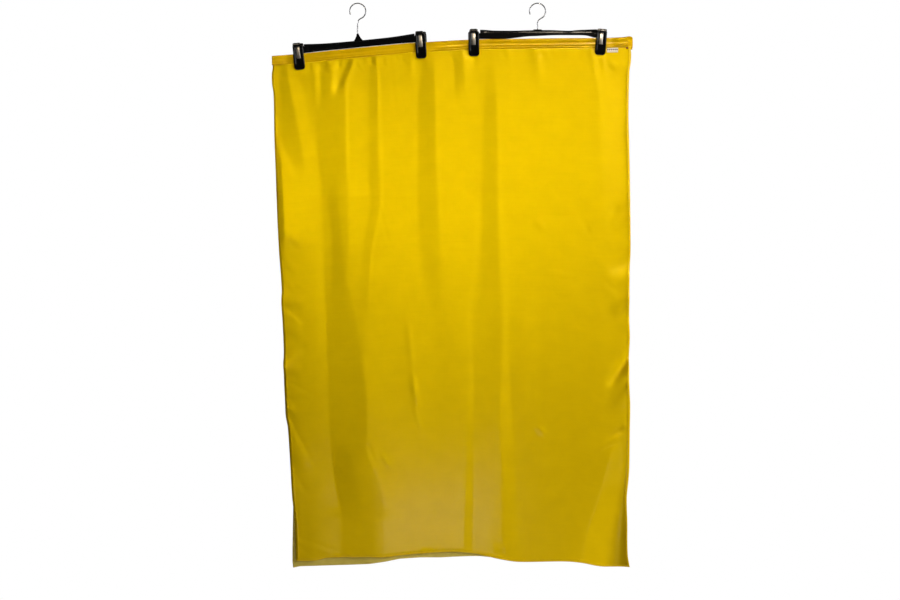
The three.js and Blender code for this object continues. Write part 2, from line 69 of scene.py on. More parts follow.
# Outlines. The sleeve's top and the panel's foot are (across, height), the two sides are (height,
# across).
SLEEVE_TOP = [
    (-458.4, -134.0), (-412, -130.4), (-378, -127.4), (-283, -117.4), (-201, -109.5),
    (-119, -101.9), (-70, -98.7), (64, -91.4), (142, -90.2), (283, -88.2), (386, -87.5),
    (438, -85.9), (458.4, -83.4),
]
PANEL_LEFT = [
    (-1449, -395.8), (-1340, -399.1), (-1270, -406.3), (-1200, -410.5), (-1092, -417.6),
    (-1062, -423.2), (-1033, -424.8), (-938, -428.8), (-891, -428.4), (-814, -431.6),
    (-773, -434.4), (-737, -433.4), (-634, -440.4), (-530, -445.4), (-430, -449.0),
    (-350, -452.4), (-232, -454.6), (-205, -458.4), (-180, -458.9), (-165, -456.8), (-110, -457.5),
]
PANEL_RIGHT = [
    (-1449, 462.5), (-1424, 458.4), (-1391, 457.2), (-1340, 457.3), (-1270, 455.9),
    (-1232, 459.4), (-1200, 461.8), (-1092, 463.1), (-1033, 464.0), (-985, 461.4),
    (-930, 461.5), (-855, 463.2), (-814, 461.5), (-737, 462.0), (-690, 462.8), (-640, 465.1),
    (-530, 464.1), (-430, 463.0), (-350, 461.2), (-280, 459.8), (-175, 462.0), (-150, 465.5),
    (-130, 466.5), (-112, 465.0),
]
PANEL_BOTTOM = [
    (-396, -1434), (-347, -1433), (-315, -1426), (-215, -1424), (-167, -1424), (-116, -1418),
    (0, -1410), (64, -1414), (92, -1420), (142, -1431), (180, -1436), (296, -1435), (340, -1439),
    (378, -1448), (402, -1451), (462, -1450),
]
# How far the left edge curls back, as (height, depth).
LEFT_CURL = [
    (-1449, 1.5), (-1290, 1.5), (-1150, 2.5), (-1060, 5.0), (-830, 4.5), (-760, 2.0), (-700, 3.5),
    (-640, 1.5), (-420, 2.0), (-230, 0.5), (-110, 0.5),
]
# The hem's turned back layer, which shows below and beside the low left corner: its outer edge.
BACK_HEM_EDGE = [
    (-404, -1285), (-405, -1340), (-406, -1400), (-406, -1436), (-404.5, -1452.5), (-386, -1448.5),
    (-309, -1446), (-270, -1445), (-206, -1442), (-167, -1436), (-129, -1428.5), (-77, -1425),
    (-26, -1425), (13, -1423), (52, -1421.5), (77, -1421.5), (103, -1424),
]
BACK_HEM_INNER = -388  # how far left the layer's hidden upright edge lies
BACK_HEM_COVERED = 12  # how far up the front layer covers it
BACK_HEM_GAP = 5.6  # how far behind the front layer it hangs
BACK_HEM_THICKNESS = 0.6

# The panel hangs in upright facets, each nearly flat, that meet along soft or crisp borders. A row
# gives the height, the facet's left and right borders and its lean: how far it recedes towards its
# right for each millimetre across. The two soft widths round its left and right borders.
FACETS = {
    "left edge, turned back": ((8, 7), [
        (-340, -466, -441, 0.0), (-402, -466, -436, -0.35), (-470, -466, -431, -0.6),
        (-560, -464, -428, -0.7), (-605, -464, -426, -0.6), (-640, -464, -428, -0.25),
        (-680, -460, -432, 0.0),
    ]),
    "left margin, turned from the light": ((8, 8), [
        (-135, -438, -418, -0.08), (-180, -435, -418, -0.13), (-299, -435, -397, -0.12),
        (-355, -432, -386, -0.12), (-402, -412, -376, -0.10), (-450, -384, -370, 0.0),
    ]),
    "left margin, lit": ((10, 9), [
        (-175, -418, -392, 0.0), (-200, -414, -383, 0.06), (-299, -393, -362, 0.05),
        (-402, -380, -342, 0.05), (-465, -383, -338, 0.04), (-505, -422, -333, 0.01),
        (-608, -424, -330, 0.02), (-762, -410, -324, 0.01), (-850, -385, -320, 0.03),
        (-917, -350, -319, 0.04), (-1071, -345, -314, 0.02), (-1174, -340, -308, -0.03),
        (-1277, -352, -294, 0.0), (-1380, -355, -285, 0.03), (-1440, -350, -279, 0.04),
    ]),
    "narrow light left of the hollow": ((10, 4), [
        (-600, -346, -328, 0.0), (-660, -345, -326, 0.05), (-762, -344, -321, 0.06),
        (-850, -343, -318, 0.06), (-930, -343, -318, 0.0),
    ]),
    "broad hollow under clip one": ((12, 12), [
        (-175, -352, -266, 0.0), (-247, -350, -268, -0.06), (-402, -338, -264, -0.09),
        (-505, -331, -262, -0.11), (-608, -327, -262, -0.11), (-711, -323, -262, -0.10),
        (-814, -319, -242, -0.09), (-917, -314, -228, -0.10), (-1020, -311, -214, -0.10),
        (-1123, -308, -214, -0.10), (-1174, -303, -204, -0.11), (-1226, -298, -180, -0.10),
        (-1290, -285, -168, -0.10), (-1329, -279, -170, -0.05), (-1440, -273, -170, -0.05),
    ]),
    "core of that hollow": ((8, 12), [
        (-385, -300, -283, 0.0), (-440, -302, -284, -0.05), (-505, -316, -289, -0.15),
        (-560, -308, -284, -0.15), (-608, -303, -278, -0.17), (-711, -304, -272, -0.17),
        (-780, -306, -268, -0.05), (-860, -306, -260, 0.0),
    ]),
    "dark pool low in that hollow": ((10, 30), [
        (-1110, -304, -257, 0.0), (-1160, -301, -252, -0.09), (-1235, -294, -240, -0.09),
        (-1300, -280, -225, -0.06), (-1325, -278, -220, 0.0),
    ]),
    "lit side of the hollow": ((5, 14), [
        (-185, -262, -221, 0.0), (-225, -268, -221, 0.06), (-402, -263, -216, 0.02),
        (-505, -262, -206, 0.06), (-608, -262, -221, 0.05), (-711, -256, -222, 0.0),
    ]),
    "bright border of that side": ((4, 5), [
        (-210, -270, -262, 0.0), (-260, -270, -261, 0.09), (-430, -267, -258, 0.09),
        (-480, -262, -252, 0.0),
    ]),
    "pleat left of the hanger's middle": ((8, 4), [
        (-120, -207, -190, -0.14), (-165, -208, -189, -0.13), (-247, -209, -185, -0.09),
        (-350, -209, -183, -0.09), (-453, -209, -180, -0.13), (-505, -200, -180, -0.14),
        (-556, -209, -187, -0.10), (-634, -224, -202, -0.11), (-762, -230, -211, -0.05),
        (-830, -230, -212, 0.0),
    ]),
    "crisp edge of that pleat": ((3, 5), [
        (-160, -186, -179, 0.0), (-210, -185, -178, 0.13), (-505, -179, -171, 0.14),
        (-556, -187, -179, 0.14), (-634, -202, -194, 0.14), (-740, -211, -203, 0.09),
        (-814, -212, -204, 0.0),
    ]),
    "lit field right of it": ((20, 30), [
        (-480, -175, -90, 0.0), (-520, -175, -90, 0.05), (-660, -191, -77, 0.07),
        (-762, -211, -48, 0.09), (-917, -220, -40, 0.12), (-1020, -215, -40, 0.10),
        (-1123, -208, -42, 0.07), (-1226, -200, -40, 0.05), (-1440, -190, -40, 0.04),
    ]),
    "pleat under clip two, first light": ((6, 4), [
        (-200, -92, -84, 0.0), (-260, -92, -83, 0.05), (-505, -93, -83, 0.06),
        (-660, -86, -76, 0.05), (-760, -84, -72, 0.0),
    ]),
    "pleat under clip two": ((4, 4), [
        (-120, -62, -44, -0.14), (-160, -72, -42, -0.16), (-247, -82, -39, -0.18),
        (-350, -82, -36, -0.14), (-505, -82, -31, -0.09), (-608, -75, -26, -0.06),
        (-711, -67, -26, -0.03), (-800, -64, -31, -0.01), (-880, -62, -36, 0.0),
    ]),
    "pleat under clip two, last light": ((4, 8), [
        (-180, -41, -32, 0.0), (-230, -39, -30, 0.07), (-505, -32, -21, 0.08),
        (-608, -27, -16, 0.06), (-730, -24, -12, 0.0),
    ]),
    "tuck between the hangers": ((5, 4), [
        (-115, 12, 24, -0.22), (-170, 13, 24, -0.18), (-235, 14, 22, -0.09), (-275, 15, 21, 0.0),
    ]),
    "lit field between the hangers": ((30, 30), [
        (-440, -26, 77, 0.0), (-505, -26, 77, 0.03), (-660, -21, 72, 0.05),
        (-762, -20, 44, 0.04), (-950, -20, 44, 0.0),
    ]),
    "pleat under clip three": ((4, 4), [
        (-125, 95, 112, -0.04), (-185, 93, 116, -0.08), (-247, 88, 119, -0.12),
        (-350, 85, 121, -0.12), (-505, 82, 122, -0.09), (-608, 80, 124, -0.09),
        (-711, 82, 125, -0.07), (-814, 66, 129, -0.04), (-917, 60, 129, -0.04),
        (-1020, 60, 126, -0.03), (-1123, 60, 126, -0.02), (-1226, 60, 128, -0.02),
        (-1329, 60, 103, -0.03), (-1440, 60, 98, -0.03),
    ]),
    "long light left of that pleat": ((5, 5), [
        (-440, 67, 79, 0.0), (-505, 67, 80, 0.05), (-608, 62, 77, 0.07), (-711, 54, 70, 0.07),
        (-762, 46, 58, 0.09), (-917, 45, 58, 0.12), (-1071, 45, 59, 0.11),
        (-1226, 42, 58, 0.09), (-1440, 34, 57, 0.06),
    ]),
    "long light right of that pleat": ((4, 7), [
        (-190, 120, 129, 0.0), (-247, 121, 130, 0.05), (-505, 124, 137, 0.07),
        (-660, 129, 154, 0.07), (-762, 136, 150, 0.11), (-917, 133, 152, 0.16),
        (-1071, 129, 162, 0.17), (-1123, 131, 165, 0.14), (-1226, 136, 165, 0.10),
        (-1329, 136, 172, 0.07), (-1440, 129, 182, 0.05),
    ]),
    "faint light in the right field": ((8, 10), [
        (-680, 180, 206, 0.0), (-762, 191, 227, 0.05), (-917, 188, 232, 0.05),
        (-1071, 192, 235, 0.04), (-1130, 192, 235, 0.0),
    ]),
    "thin streak in that light": ((4, 4), [
        (-920, 206, 216, 0.0), (-968, 206, 217, -0.07), (-1071, 209, 219, -0.08),
        (-1105, 210, 220, 0.0),
    ]),
    "right margin, lit": ((12, 20), [
        (-150, 379, 443, 0.0), (-210, 381, 443, 0.05), (-402, 388, 443, 0.05),
        (-505, 394, 443, 0.04), (-608, 394, 443, 0.0),
    ]),
    "low right, lit slantwise": ((12, 16), [
        (-1105, 430, 444, 0.0), (-1145, 418, 444, 0.15), (-1200, 402, 443, 0.15),
        (-1252, 388, 438, 0.14), (-1342, 360, 417, 0.14), (-1381, 348, 402, 0.12),
        (-1440, 338, 395, 0.09),
    ]),
    "low right corner, turned back": ((34, 10), [
        (-1170, 452, 476, 0.0), (-1226, 450, 476, -0.18), (-1303, 436, 476, -0.28),
        (-1380, 420, 478, -0.32), (-1440, 412, 480, -0.36),
    ]),
    "rolled edge of that corner": ((18, 8), [
        (-1226, 456, 482, 0.0), (-1303, 450, 482, -0.3), (-1380, 444, 484, -0.5),
        (-1440, 440, 486, -0.6),
    ]),
}
GIVE_BACK = 150.0  # how far to each side a facet's rise or fall is given back
SEAM_REACH = 15.0  # below the seam the folds open over about three times this
BELLY = 9.0  # how far the panel's middle bows forward, low down

# Puckers start at a seam, full there, and die away along a line. A row gives where the line starts,
# where it ends, its half width and how far it stands forward (back if negative).
PUCKERS = [
    (-101, -128, -98, -220, 7, 1.8), (-62, -138, -54, -180, 7, 1.6), (34, -124, 42, -262, 9, 1.6),
    (62, -138, 58, -190, 7, -1.4), (148, -118, 158, -172, 7, 1.4), (219, -116, 236, -250, 12, 2.2),
    (240, -116, 262, -160, 6, 1.2), (366, -116, 380, -250, 8, 1.6), (390, -132, 404, -212, 6, 1.0),
    (352, -116, 349, -180, 6, 1.2),
]
# Creases and dents lie free in the panel and die away at both ends of their line.
CREASES = {
    "short creases": [
        (-112, -795, -95, -950, 8, 2.2), (-101, -932, -80, -1056, 8, 3.4),
        (-98, -1015, -68, -1118, 4, 1.4), (-182, -1148, -150, -1200, 4, 1.9),
        (-218, -1112, -190, -1192, 7, -1.5), (212, -1078, 258, -1118, 8, 1.9),
        (214, -548, 250, -588, 9, 1.9),
    ],
    "marks of storage folds": [
        (-445, -494, -20, -494, 4, 0.8), (-40, -627, 74, -627, 3, 0.8),
        (228, -548, 350, -548, 4, -0.8), (340, -546, 364, -606, 4, -1.0),
        (232, -689, 334, -702, 3, 1.4), (-30, -380, 380, -384, 4, 0.5),
    ],
}
# Bands of cloth that are turned to the light, which comes from above right, or away from it. A row
# gives the band's middle line, its half width and how far it recedes towards the light for each
# millimetre (or away from it, if negative).
TURNS = {
    "gathers under the sleeve": [
        (-358, -137, -358, -178, 4, -0.36), (-342, -139, -339, -278, 8.5, 0.2),
        (-319, -139, -317, -181, 9, -0.19), (-317, -137, -317, -160, 3.6, -0.36),
        (-291, -139, -304, -250, 11, 0.16), (-251, -129, -288, -242, 9, -0.32),
        (-265, -206, -263, -495, 4.4, 0.1), (-281, -137, -281, -170, 3.6, -0.31),
        (-245, -139, -227, -175, 3.6, -0.2), (-197, -129, -194, -160, 6.7, -0.31),
        (-185, -175, -183, -500, 3.6, 0.1), (-170, -132, -165, -165, 3.6, -0.2),
        (-151, -132, -134, -291, 5, -0.07), (-121, -129, -116, -155, 3.6, -0.31),
        (-103, -126, -100, -150, 3.6, -0.2), (-221, -134, -219, -155, 3.6, -0.26),
        (-136, -129, -134, -144, 3.6, -0.31), (129, -114, 134, -144, 3.6, 0.19),
        (18, -124, 22, -150, 4, 0.2), (56, -118, 52, -146, 4, -0.2),
        (246, -112, 232, -140, 4.5, 0.22), (262, -111, 268, -135, 4, -0.16),
        (350, -112, 344, -150, 5, 0.2), (372, -112, 380, -145, 4.5, -0.16),
    ],
    "left margin": [
        (-427, -140, -427, -195, 10, -0.09), (-444, -196, -443, -376, 3, 0.05),
        (-440, -385, -409, -471, 11.6, -0.07), (-450, -481, -415, -469, 3.6, 0.06),
        (-455, -572, -376, -634, 9.3, -0.19), (-450, -608, -412, -608, 9, -0.14),
    ],
    "along the left hem": [
        (-443, -643, -397, -701, 9.3, -0.15), (-445, -673, -407, -685, 5.7, -0.11),
        (-445, -700, -402, -739, 7.7, -0.11), (-445, -760, -404, -739, 6.7, 0.08),
        (-397, -726, -376, -737, 5, -0.05), (-450, -773, -371, -775, 14, -0.11),
        (-445, -772, -371, -829, 8.2, 0.16), (-450, -838, -381, -855, 15.5, -0.11),
        (-445, -940, -363, -876, 8.8, 0.15), (-445, -946, -379, -953, 15.5, -0.11),
        (-445, -963, -345, -1015, 5.2, 0.14), (-440, -1010, -379, -1012, 8, -0.07),
        (-440, -1005, -389, -1048, 7.7, 0.12), (-430, -1041, -381, -1082, 10, -0.07),
        (-428, -1048, -353, -1195, 7.7, 0.12), (-425, -1130, -376, -1211, 16.7, -0.12),
        (-420, -1190, -363, -1277, 8.2, 0.09), (-420, -1245, -384, -1339, 13, -0.08),
    ],
    "along the right hem": [
        (484, -495, 412, -541, 10, -0.072), (433, -533, 409, -582, 10, -0.054),
        (484, -530, 412, -605, 10, -0.066), (448, -533, 440, -556, 6, 0.03),
        (453, -616, 427, -636, 5, -0.04), (484, -647, 427, -647, 3.3, 0.06),
        (490, -652, 386, -703, 19, 0.09), (470, -701, 417, -726, 8, -0.06),
        (402, -726, 438, -755, 8.8, 0.06), (490, -740, 394, -814, 15.5, -0.11),
        (451, -793, 430, -819, 6, 0.06), (453, -819, 422, -840, 7.7, -0.04),
        (484, -876, 381, -1020, 12.4, 0.12), (472, -922, 397, -1033, 8.8, -0.06),
        (468, -960, 430, -992, 4, 0.06), (480, -964, 397, -1077, 14, -0.08),
        (448, -1084, 435, -1102, 4, -0.10), (448, -1105, 438, -1126, 4, -0.10),
        (435, -1102, 379, -1149, 4.6, 0.06), (427, -1118, 340, -1174, 5, -0.04),
        (417, -1138, 319, -1182, 4.6, 0.02),
    ],
    "along the foot": [
        (-410, -1370, -252, -1429, 4.4, 0.16), (-408, -1389, -340, -1437, 5.7, 0.11),
        (-390, -1391, -309, -1422, 6, -0.06), (-72, -1416, -58, -1392, 3.5, 0.14),
        (-56, -1414, -42, -1390, 3.5, 0.14), (-38, -1411, -26, -1389, 3.5, 0.10),
        (131, -1385, 150, -1432, 7, -0.08), (129, -1401, 175, -1393, 4, -0.06),
        (232, -1405, 254, -1442, 4, 0.12),
    ],
    "free creases": [
        (-180, -510, -149, -634, 5, -0.07), (-180, -505, -165, -536, 3, 0.08),
        (-182, -484, -219, -649, 3.3, 0.08), (360, -105, 350, -191, 4.6, -0.06),
        (366, -113, 384, -191, 4, -0.08), (407, -155, 427, -173, 6.2, -0.08),
        (412, -144, 433, -155, 5.2, 0.04), (255, -112, 232, -137, 3, -0.14),
        (252, -108, 263, -119, 2.6, -0.09), (33, -114, 44, -152, 4.6, -0.09),
        (52, -132, 67, -150, 4, -0.05),
    ],
}
TO_LIGHT = (0.86, 0.51)  # across and up

# The sleeve's cross section, from its top fold down the front and up the back. A row gives a share
# of its height and of its half depth. The front has a pressed crease half way down, the groove of
# the stitching, and a lip over the seam, where the two layers close on the panel.
SLEEVE_SECTION = [
    (0.985, -0.40), (0.955, -0.70), (0.905, -0.90), (0.85, -0.98), (0.76, -0.95), (0.66, -0.84),
    (0.585, -0.70), (0.55, -0.62), (0.525, -0.66), (0.45, -0.84), (0.36, -0.98), (0.28, -1.0),
    (0.245, -0.90), (0.215, -0.70), (0.19, -0.68), (0.165, -0.82), (0.12, -0.92), (0.07, -0.86),
    (0.03, -0.72), (0.0, -0.56), (0.045, -0.05),
    (0.045, 0.05), (0.0, 0.56), (0.06, 0.80), (0.15, 0.85), (0.20, 0.70), (0.26, 0.90),
    (0.45, 1.0), (0.70, 1.0), (0.88, 0.90), (0.955, 0.70), (0.985, 0.40), (1.0, 0.0),
]
SLEEVE_WALL = 0.45
STITCH_SHARE = 0.205  # the stitching's place, as a share of the sleeve's height
STITCH_PITCH = 3.0
STITCH_LENGTH = 2.5
THREAD = 0.55  # a stitch's thickness
SEAM_SHADE_SIDES = (453.0, 457.6)  # the left and right ends of the bar of dark thread, painted seam shadow
SEAM_SHADE_HEIGHTS = (-116.2, -112.0)  # and its foot and top
SEAM_SHADE_RADIUS = 0.42
# Creases of the sleeve's front, which run up to its lifted corner at the right end.
SLEEVE_CREASES = [
    (420, -97, 456, -85, 2.2, -1.1), (408, -113, 455, -97, 2.4, -1.0),
    (-452, -158, -436, -152, 2.0, -0.9), (-372, -134, -330, -139, 3.0, 0.5),
]
LABEL_LEFT = 404.0
LABEL_WIDTH = 28.5
LABEL_HEIGHT = 11.8
LABEL_DROP = 0.7  # below the sleeve
LABEL_THICKNESS = 0.5
WIRE_RADIUS = 1.5
HOOK_BEND = 20.6  # the hook's round bend, to the wire's middle
HOOK_ANGLES = range(-48, 205, 18)  # along the bend, in degrees: 0 at its right side, 90 on top
HOOK_BOW = 1.5  # how far its shank leans out before the bend

# The clips. `x` and `z` are where the spring lies on the bar, and `lean` turns the tip to the
# right, in degrees. `stretch` lengthens what hangs below the spring. `tab_half` is half the width
# of the finger tab above it, and `tab_shift` how far right the front jaw's tab sits. `back_shift`
# is how far right the back jaw sits.
CLIPS = [
    {
        "name": "clip_1", "x": -391.6, "z": -110.9, "lean": 5.8, "stretch": 1.04,
        "tab_half": 10.3, "tab_shift": -2.6, "back_shift": 1.2,
    },
    {
        "name": "clip_2", "x": -76.4, "z": -80.7, "lean": 3.0, "stretch": 1.055,
        "tab_half": 10.3, "tab_shift": -2.4, "back_shift": 2.0,
    },
    {
        "name": "clip_3", "x": 61.0, "z": -75.05, "lean": 0.9, "stretch": 1.055,
        "tab_half": 10.3, "tab_shift": 0.0, "back_shift": -0.8,
    },
    {
        "name": "clip_4", "x": 390.3, "z": -75.05, "lean": -4.5, "stretch": 1.0,
        "tab_half": 12.2, "tab_shift": 0.6, "back_shift": 0.8,
    },
]
JAW_HALF = 13.75
JAW_TOP = 9.8  # above the place where the spring lies on the bar
JAW_LENGTH = 67.0
JAW_CORNER = 8.0  # the radius of its two lower corners
JAW_TIP = JAW_TOP - JAW_LENGTH
JAW_PANEL_HALF = 9.2  # the sunk panel on its outer face
JAW_RIM = 2.2  # the width of its rounded rim
WINDOW_SHARE = 0.36  # the window's width, as a share of the jaw's
WINDOW_TOP = 1.0
WINDOW_FOOT = -29.5
# How far the jaw's outer and inner faces stand out from the clip's middle, by the drop from there.
JAW_OUTSIDE = [
    (-9.8, 8.2), (-7.5, 8.85), (-5, 9.2), (-1, 9.35), (5, 9.4), (12, 9.4), (20, 9.0), (30, 8.2),
    (42, 7.0), (50, 6.0), (54, 5.3), (56, 4.4), (57.2, 3.0),
]
JAW_INSIDE = [
    (-9.8, 5.6), (-2.5, 5.2), (1.5, 3.5), (17.5, 3.5), (19.5, 2.05), (43.2, 2.05), (45.4, 0.95),
    (54.5, 0.95), (56.5, 1.3), (57.2, 2.2),
]
# The spring strip's front leg, from its foot up to the crown, as (out, up).
STRIP_LEG = [
    (-7.6, -29.5), (-8.4, -22), (-8.5, -15), (-8.2, -11), (-7.2, -3.5), (-6.2, -0.8),
    (-4.2, 0.35), (-1.6, 0.4),
]
STRIP_HALF = 4.4  # half of its width
STRIP_FACE = 0.35  # half of its thickness
STRIP_CROWN = 0.08  # how far its middle bulges out

# The hangers' moulded bars. Heights are from the hook's foot, up the bar's own axis. `seats` are
# where the bar drops to the height `seat` that a clip sits on, `neck` is half the width of the neck
# at its top and at its foot, `cove` rounds the lower flange's inside, and `shelf` is the least
# height that this flange's inner edge has.
BARS = {
    "left": {
        "x": -237.7, "z": -77.5, "tilt": 5.5, "seats": (-141.0, 145.7), "seat": -19.3,
        "neck": (2.9, 11.5), "cove": 0.6, "shelf": -40,
        "top": [
            (-141, -13.0), (-95, -16.0), (-45, -17.1), (45, -17.2), (95, -16.2), (145.7, -13.1),
        ],
        "bottom": [
            (-166, -35.8), (-141, -35.7), (-100, -34.8), (100, -34.5), (141, -35.6), (166, -35.8),
        ],
    },
    "right": {
        "x": 225.3, "z": -65.9, "tilt": 0.0, "seats": (-148.0, 153.0), "seat": -9.8,
        "neck": (9.5, 12.5), "cove": 3.0, "shelf": -10,
        "top": [
            (-148, -0.9), (-133, -1.5), (-115, -3.0), (-60, -3.4), (-30, -2.6), (30, -1.8),
            (60, -2.9), (85, -3.4), (102, -1.8), (130, -0.6), (153, 0.4),
        ],
        "bottom": [
            (-166, -24.2), (-85, -23.9), (-60, -21.9), (-20, -17.7), (10, -16.6), (45, -15.2),
            (88, -15.2), (120, -15.6), (135, -17.6), (145, -20.6), (152, -21.6), (166, -21.6),
        ],
    },
}
BAR_HALF = 166.0
BAR_FRONT = 3.0  # half of its thickness
BAR_WEB = 1.4  # half of the thinner web's thickness
BAR_FLANGE = 3.2  # the height of its upper and lower flange
BAR_STEP = 0.3  # the chamfer where a flange meets the web
BAR_EDGE = 0.5  # how far its outer edges are rounded


# ------------------------------------------------------------------ curves and shapes of the cloth

def read_curve(rows, place, level_ends=False):
    """A soft line through uneven rows of (place, value), read at an array of places."""
    at = np.array([row[0] for row in rows], float)
    value = np.array([row[1] for row in rows], float)
    slope = np.zeros_like(value)
    slope[1:-1] = (value[2:] - value[:-2]) / (at[2:] - at[:-2])
    if not level_ends:
        slope[0] = (value[1] - value[0]) / (at[1] - at[0])
        slope[-1] = (value[-1] - value[-2]) / (at[-1] - at[-2])
    place = np.clip(np.asarray(place, float), at[0], at[-1])
    i = np.clip(np.searchsorted(at, place, side="right") - 1, 0, len(at) - 2)
    span = at[i + 1] - at[i]
    t = (place - at[i]) / span
    t2 = t * t
    t3 = t2 * t
    return (
        (2 * t3 - 3 * t2 + 1) * value[i]
        + (t3 - 2 * t2 + t) * slope[i] * span
        + (3 * t2 - 2 * t3) * value[i + 1]
        + (t3 - t2) * slope[i + 1] * span
    )


def smooth(t):
    """A soft step from 0 to 1 as t goes from 0 to 1."""
    t = np.clip(t, 0, 1)
    return t * t * (3 - 2 * t)


def run_along(line):
    """How far each point of a line lies from its start, measured along it."""
    return np.concatenate([[0], np.cumsum(np.hypot(*np.diff(line, axis=0).T))])


def sleeve_top(x):
    return read_curve(SLEEVE_TOP, x)


def sleeve_bottom(x):
    across = (np.asarray(x, float) + HALF_WIDTH) / (2 * HALF_WIDTH)
    return sleeve_top(x) - (SLEEVE_LEFT + (SLEEVE_RIGHT - SLEEVE_LEFT) * across)


def ramp(offset, soft):
    """How far a unit slope has risen at an offset past its border, which is rounded by soft."""
    t = np.clip(offset / soft + 0.5, 0, 1)
    return np.where(offset > soft / 2, offset, soft * (t ** 3 - t ** 4 / 2))


def facet_depth(x, z):
    """The depth of all facets. What a facet gains or loses is given back gently on both its sides,
    so that a facet is a fold of its own and moves nothing far from it."""
    depth = np.zeros_like(x)
    for (soft_left, soft_right), rows in FACETS.values():
        left = read_curve([(-row[0], row[1]) for row in rows], -z)
        right = read_curve([(-row[0], row[2]) for row in rows], -z)
        lean = read_curve([(-row[0], row[3]) for row in rows], -z, level_ends=True)
        step = lean * (right - left)
        given_back = smooth(0.5 + (x - (left + right) / 2) / (2 * GIVE_BACK))
        depth += lean * (ramp(x - left, soft_left) - ramp(x - right, soft_right))
        depth -= step * given_back
    return depth


def line_depth(x, z, rows, from_edge):
    """The depth of puckers, full at their start, or of creases, fullest half way along."""
    depth = np.zeros_like(x)
    for x1, z1, x2, z2, width, rise in rows:
        length = math.hypot(x2 - x1, z2 - z1)
        along = ((x - x1) * (x2 - x1) + (z - z1) * (z2 - z1)) / length ** 2
        aside = ((x - x1) * (z2 - z1) - (z - z1) * (x2 - x1)) / length
        if from_edge:
            strength = smooth(1 - along) * np.exp(-(np.minimum(along, 0) * length / width) ** 2)
        else:
            strength = smooth(2 * along) * smooth(2 - 2 * along)
        depth -= rise * strength * np.exp(-(aside / width) ** 2)
    return depth


def turn_depth(x, z, rows, to_border):
    """The depth of bands that turn to or from the light, each about whichever of its two axes meets
    the light better. A band that starts at the cloth's border keeps its full strength there."""
    depth = np.zeros_like(x)
    for x1, z1, x2, z2, half_width, turn in rows:
        length = math.hypot(x2 - x1, z2 - z1)
        right, up = (x2 - x1) / length, (z2 - z1) / length
        along = ((x - x1) * right + (z - z1) * up) / length
        aside = (z - z1) * right - (x - x1) * up
        begin = smooth(3 * along + 1) if to_border else smooth(3 * along)
        strength = begin * smooth(3 - 3 * along) * np.exp(-(aside / half_width / 1.2) ** 2)
        across_light = TO_LIGHT[1] * right - TO_LIGHT[0] * up
        along_light = TO_LIGHT[0] * right + TO_LIGHT[1] * up
        if abs(across_light) > 0.5:
            depth += turn / across_light * aside * strength
        else:
            level = 0.75 if to_border else 0.5  # the share of the way where the band keeps its depth
            depth += turn / along_light * (along - level) * length * strength
    return depth


def held_by_clips(x, below):
    """1 between a clip's jaws, where the cloth is pressed flat, and 0 away from them."""
    near = np.zeros_like(x)
    for middle in CLIP_MIDDLES:
        near = np.maximum(near, smooth((30 - np.abs(x - middle)) / 14))
    return near * smooth((26 - below) / 16)


def cloth_depth(x, z):
    """The depth of the hanging panel. Facets and turned bands open out below the seam, and between
    a clip's jaws the cloth is flat."""
    below = np.maximum(sleeve_bottom(x) - z, 0)
    middle = 1 - (x / HALF_WIDTH) ** 2
    depth = facet_depth(x, z) * (1 - np.exp(-(below + 2) / SEAM_REACH))
    depth -= BELLY * middle * smooth(below / 900)
    depth += line_depth(x, z, PUCKERS, from_edge=True)
    for rows in CREASES.values():
        depth += line_depth(x, z, rows, from_edge=False)
    for name, rows in TURNS.items():
        depth += turn_depth(x, z, rows, name != "free creases") * (1 - np.exp(-(below + 0.5) / 5))
    return depth * (1 - held_by_clips(x, below))


def bake(piece):
    """Turns a piece's live modifiers into its plain mesh."""
    shape = piece.evaluated_get(bpy.context.evaluated_depsgraph_get())
    mesh = bpy.data.meshes.new_from_object(shape)
    piece.modifiers.clear()
    old = piece.data
    piece.data = mesh
    mesh.name = piece.name
    bpy.data.meshes.remove(old)


def mend_facing(piece):
    """Drops unused points, merges doubled ones and turns every face outward."""
    shape = bmesh.new()
    shape.from_mesh(piece.data)
    loose = [point for point in shape.verts if not point.link_faces]
    bmesh.ops.delete(shape, geom=loose, context="VERTS")
    bmesh.ops.remove_doubles(shape, verts=shape.verts, dist=0.000005)
    bmesh.ops.recalc_face_normals(shape, faces=shape.faces)
    shape.to_mesh(piece.data)
    shape.free()


def thicken(piece, wall, offset=0):
    """Gives a sheet its wall, inward from its surface at an offset of -1, or half to each side."""
    solid = piece.modifiers.new("thickness", "SOLIDIFY")
    solid.thickness = wall * MM
    solid.offset = offset
    bake(piece)


def lay_map(piece, name, flat):
    """Gives a piece a UV map, from one place on it for each of its points."""
    layer = piece.data.uv_layers.new(name=name)
    corner = np.empty(len(piece.data.loops), int)
    piece.data.loops.foreach_get("vertex_index", corner)
    layer.data.foreach_set("uv", flat[corner].ravel())


def point_rows(x, y, z):
    """Points in metres, one to a row, from arrays of places in millimetres."""
    return np.stack([x, y, z], axis=-1).reshape(-1, 3) * MM


def new_mesh(name, points, faces, material):
    """A piece with smooth faces, from points in metres."""
    mesh = bpy.data.meshes.new(name)
    mesh.from_pydata([tuple(p) for p in points], [], faces)
    mesh.update()
    piece = bpy.data.objects.new(name, mesh)
    bpy.context.scene.collection.objects.link(piece)
    mesh.materials.append(material)
    mesh.polygons.foreach_set("use_smooth", [True] * len(mesh.polygons))
    return piece


def grid_faces(columns, rows):
    """The faces of a grid whose points run along its rows, from the top row down."""
    faces = []
    for r in range(rows):
        for c in range(columns):
            a = r * (columns + 1) + c
            faces.append((a, a + columns + 1, a + columns + 2, a + 1))
    return faces


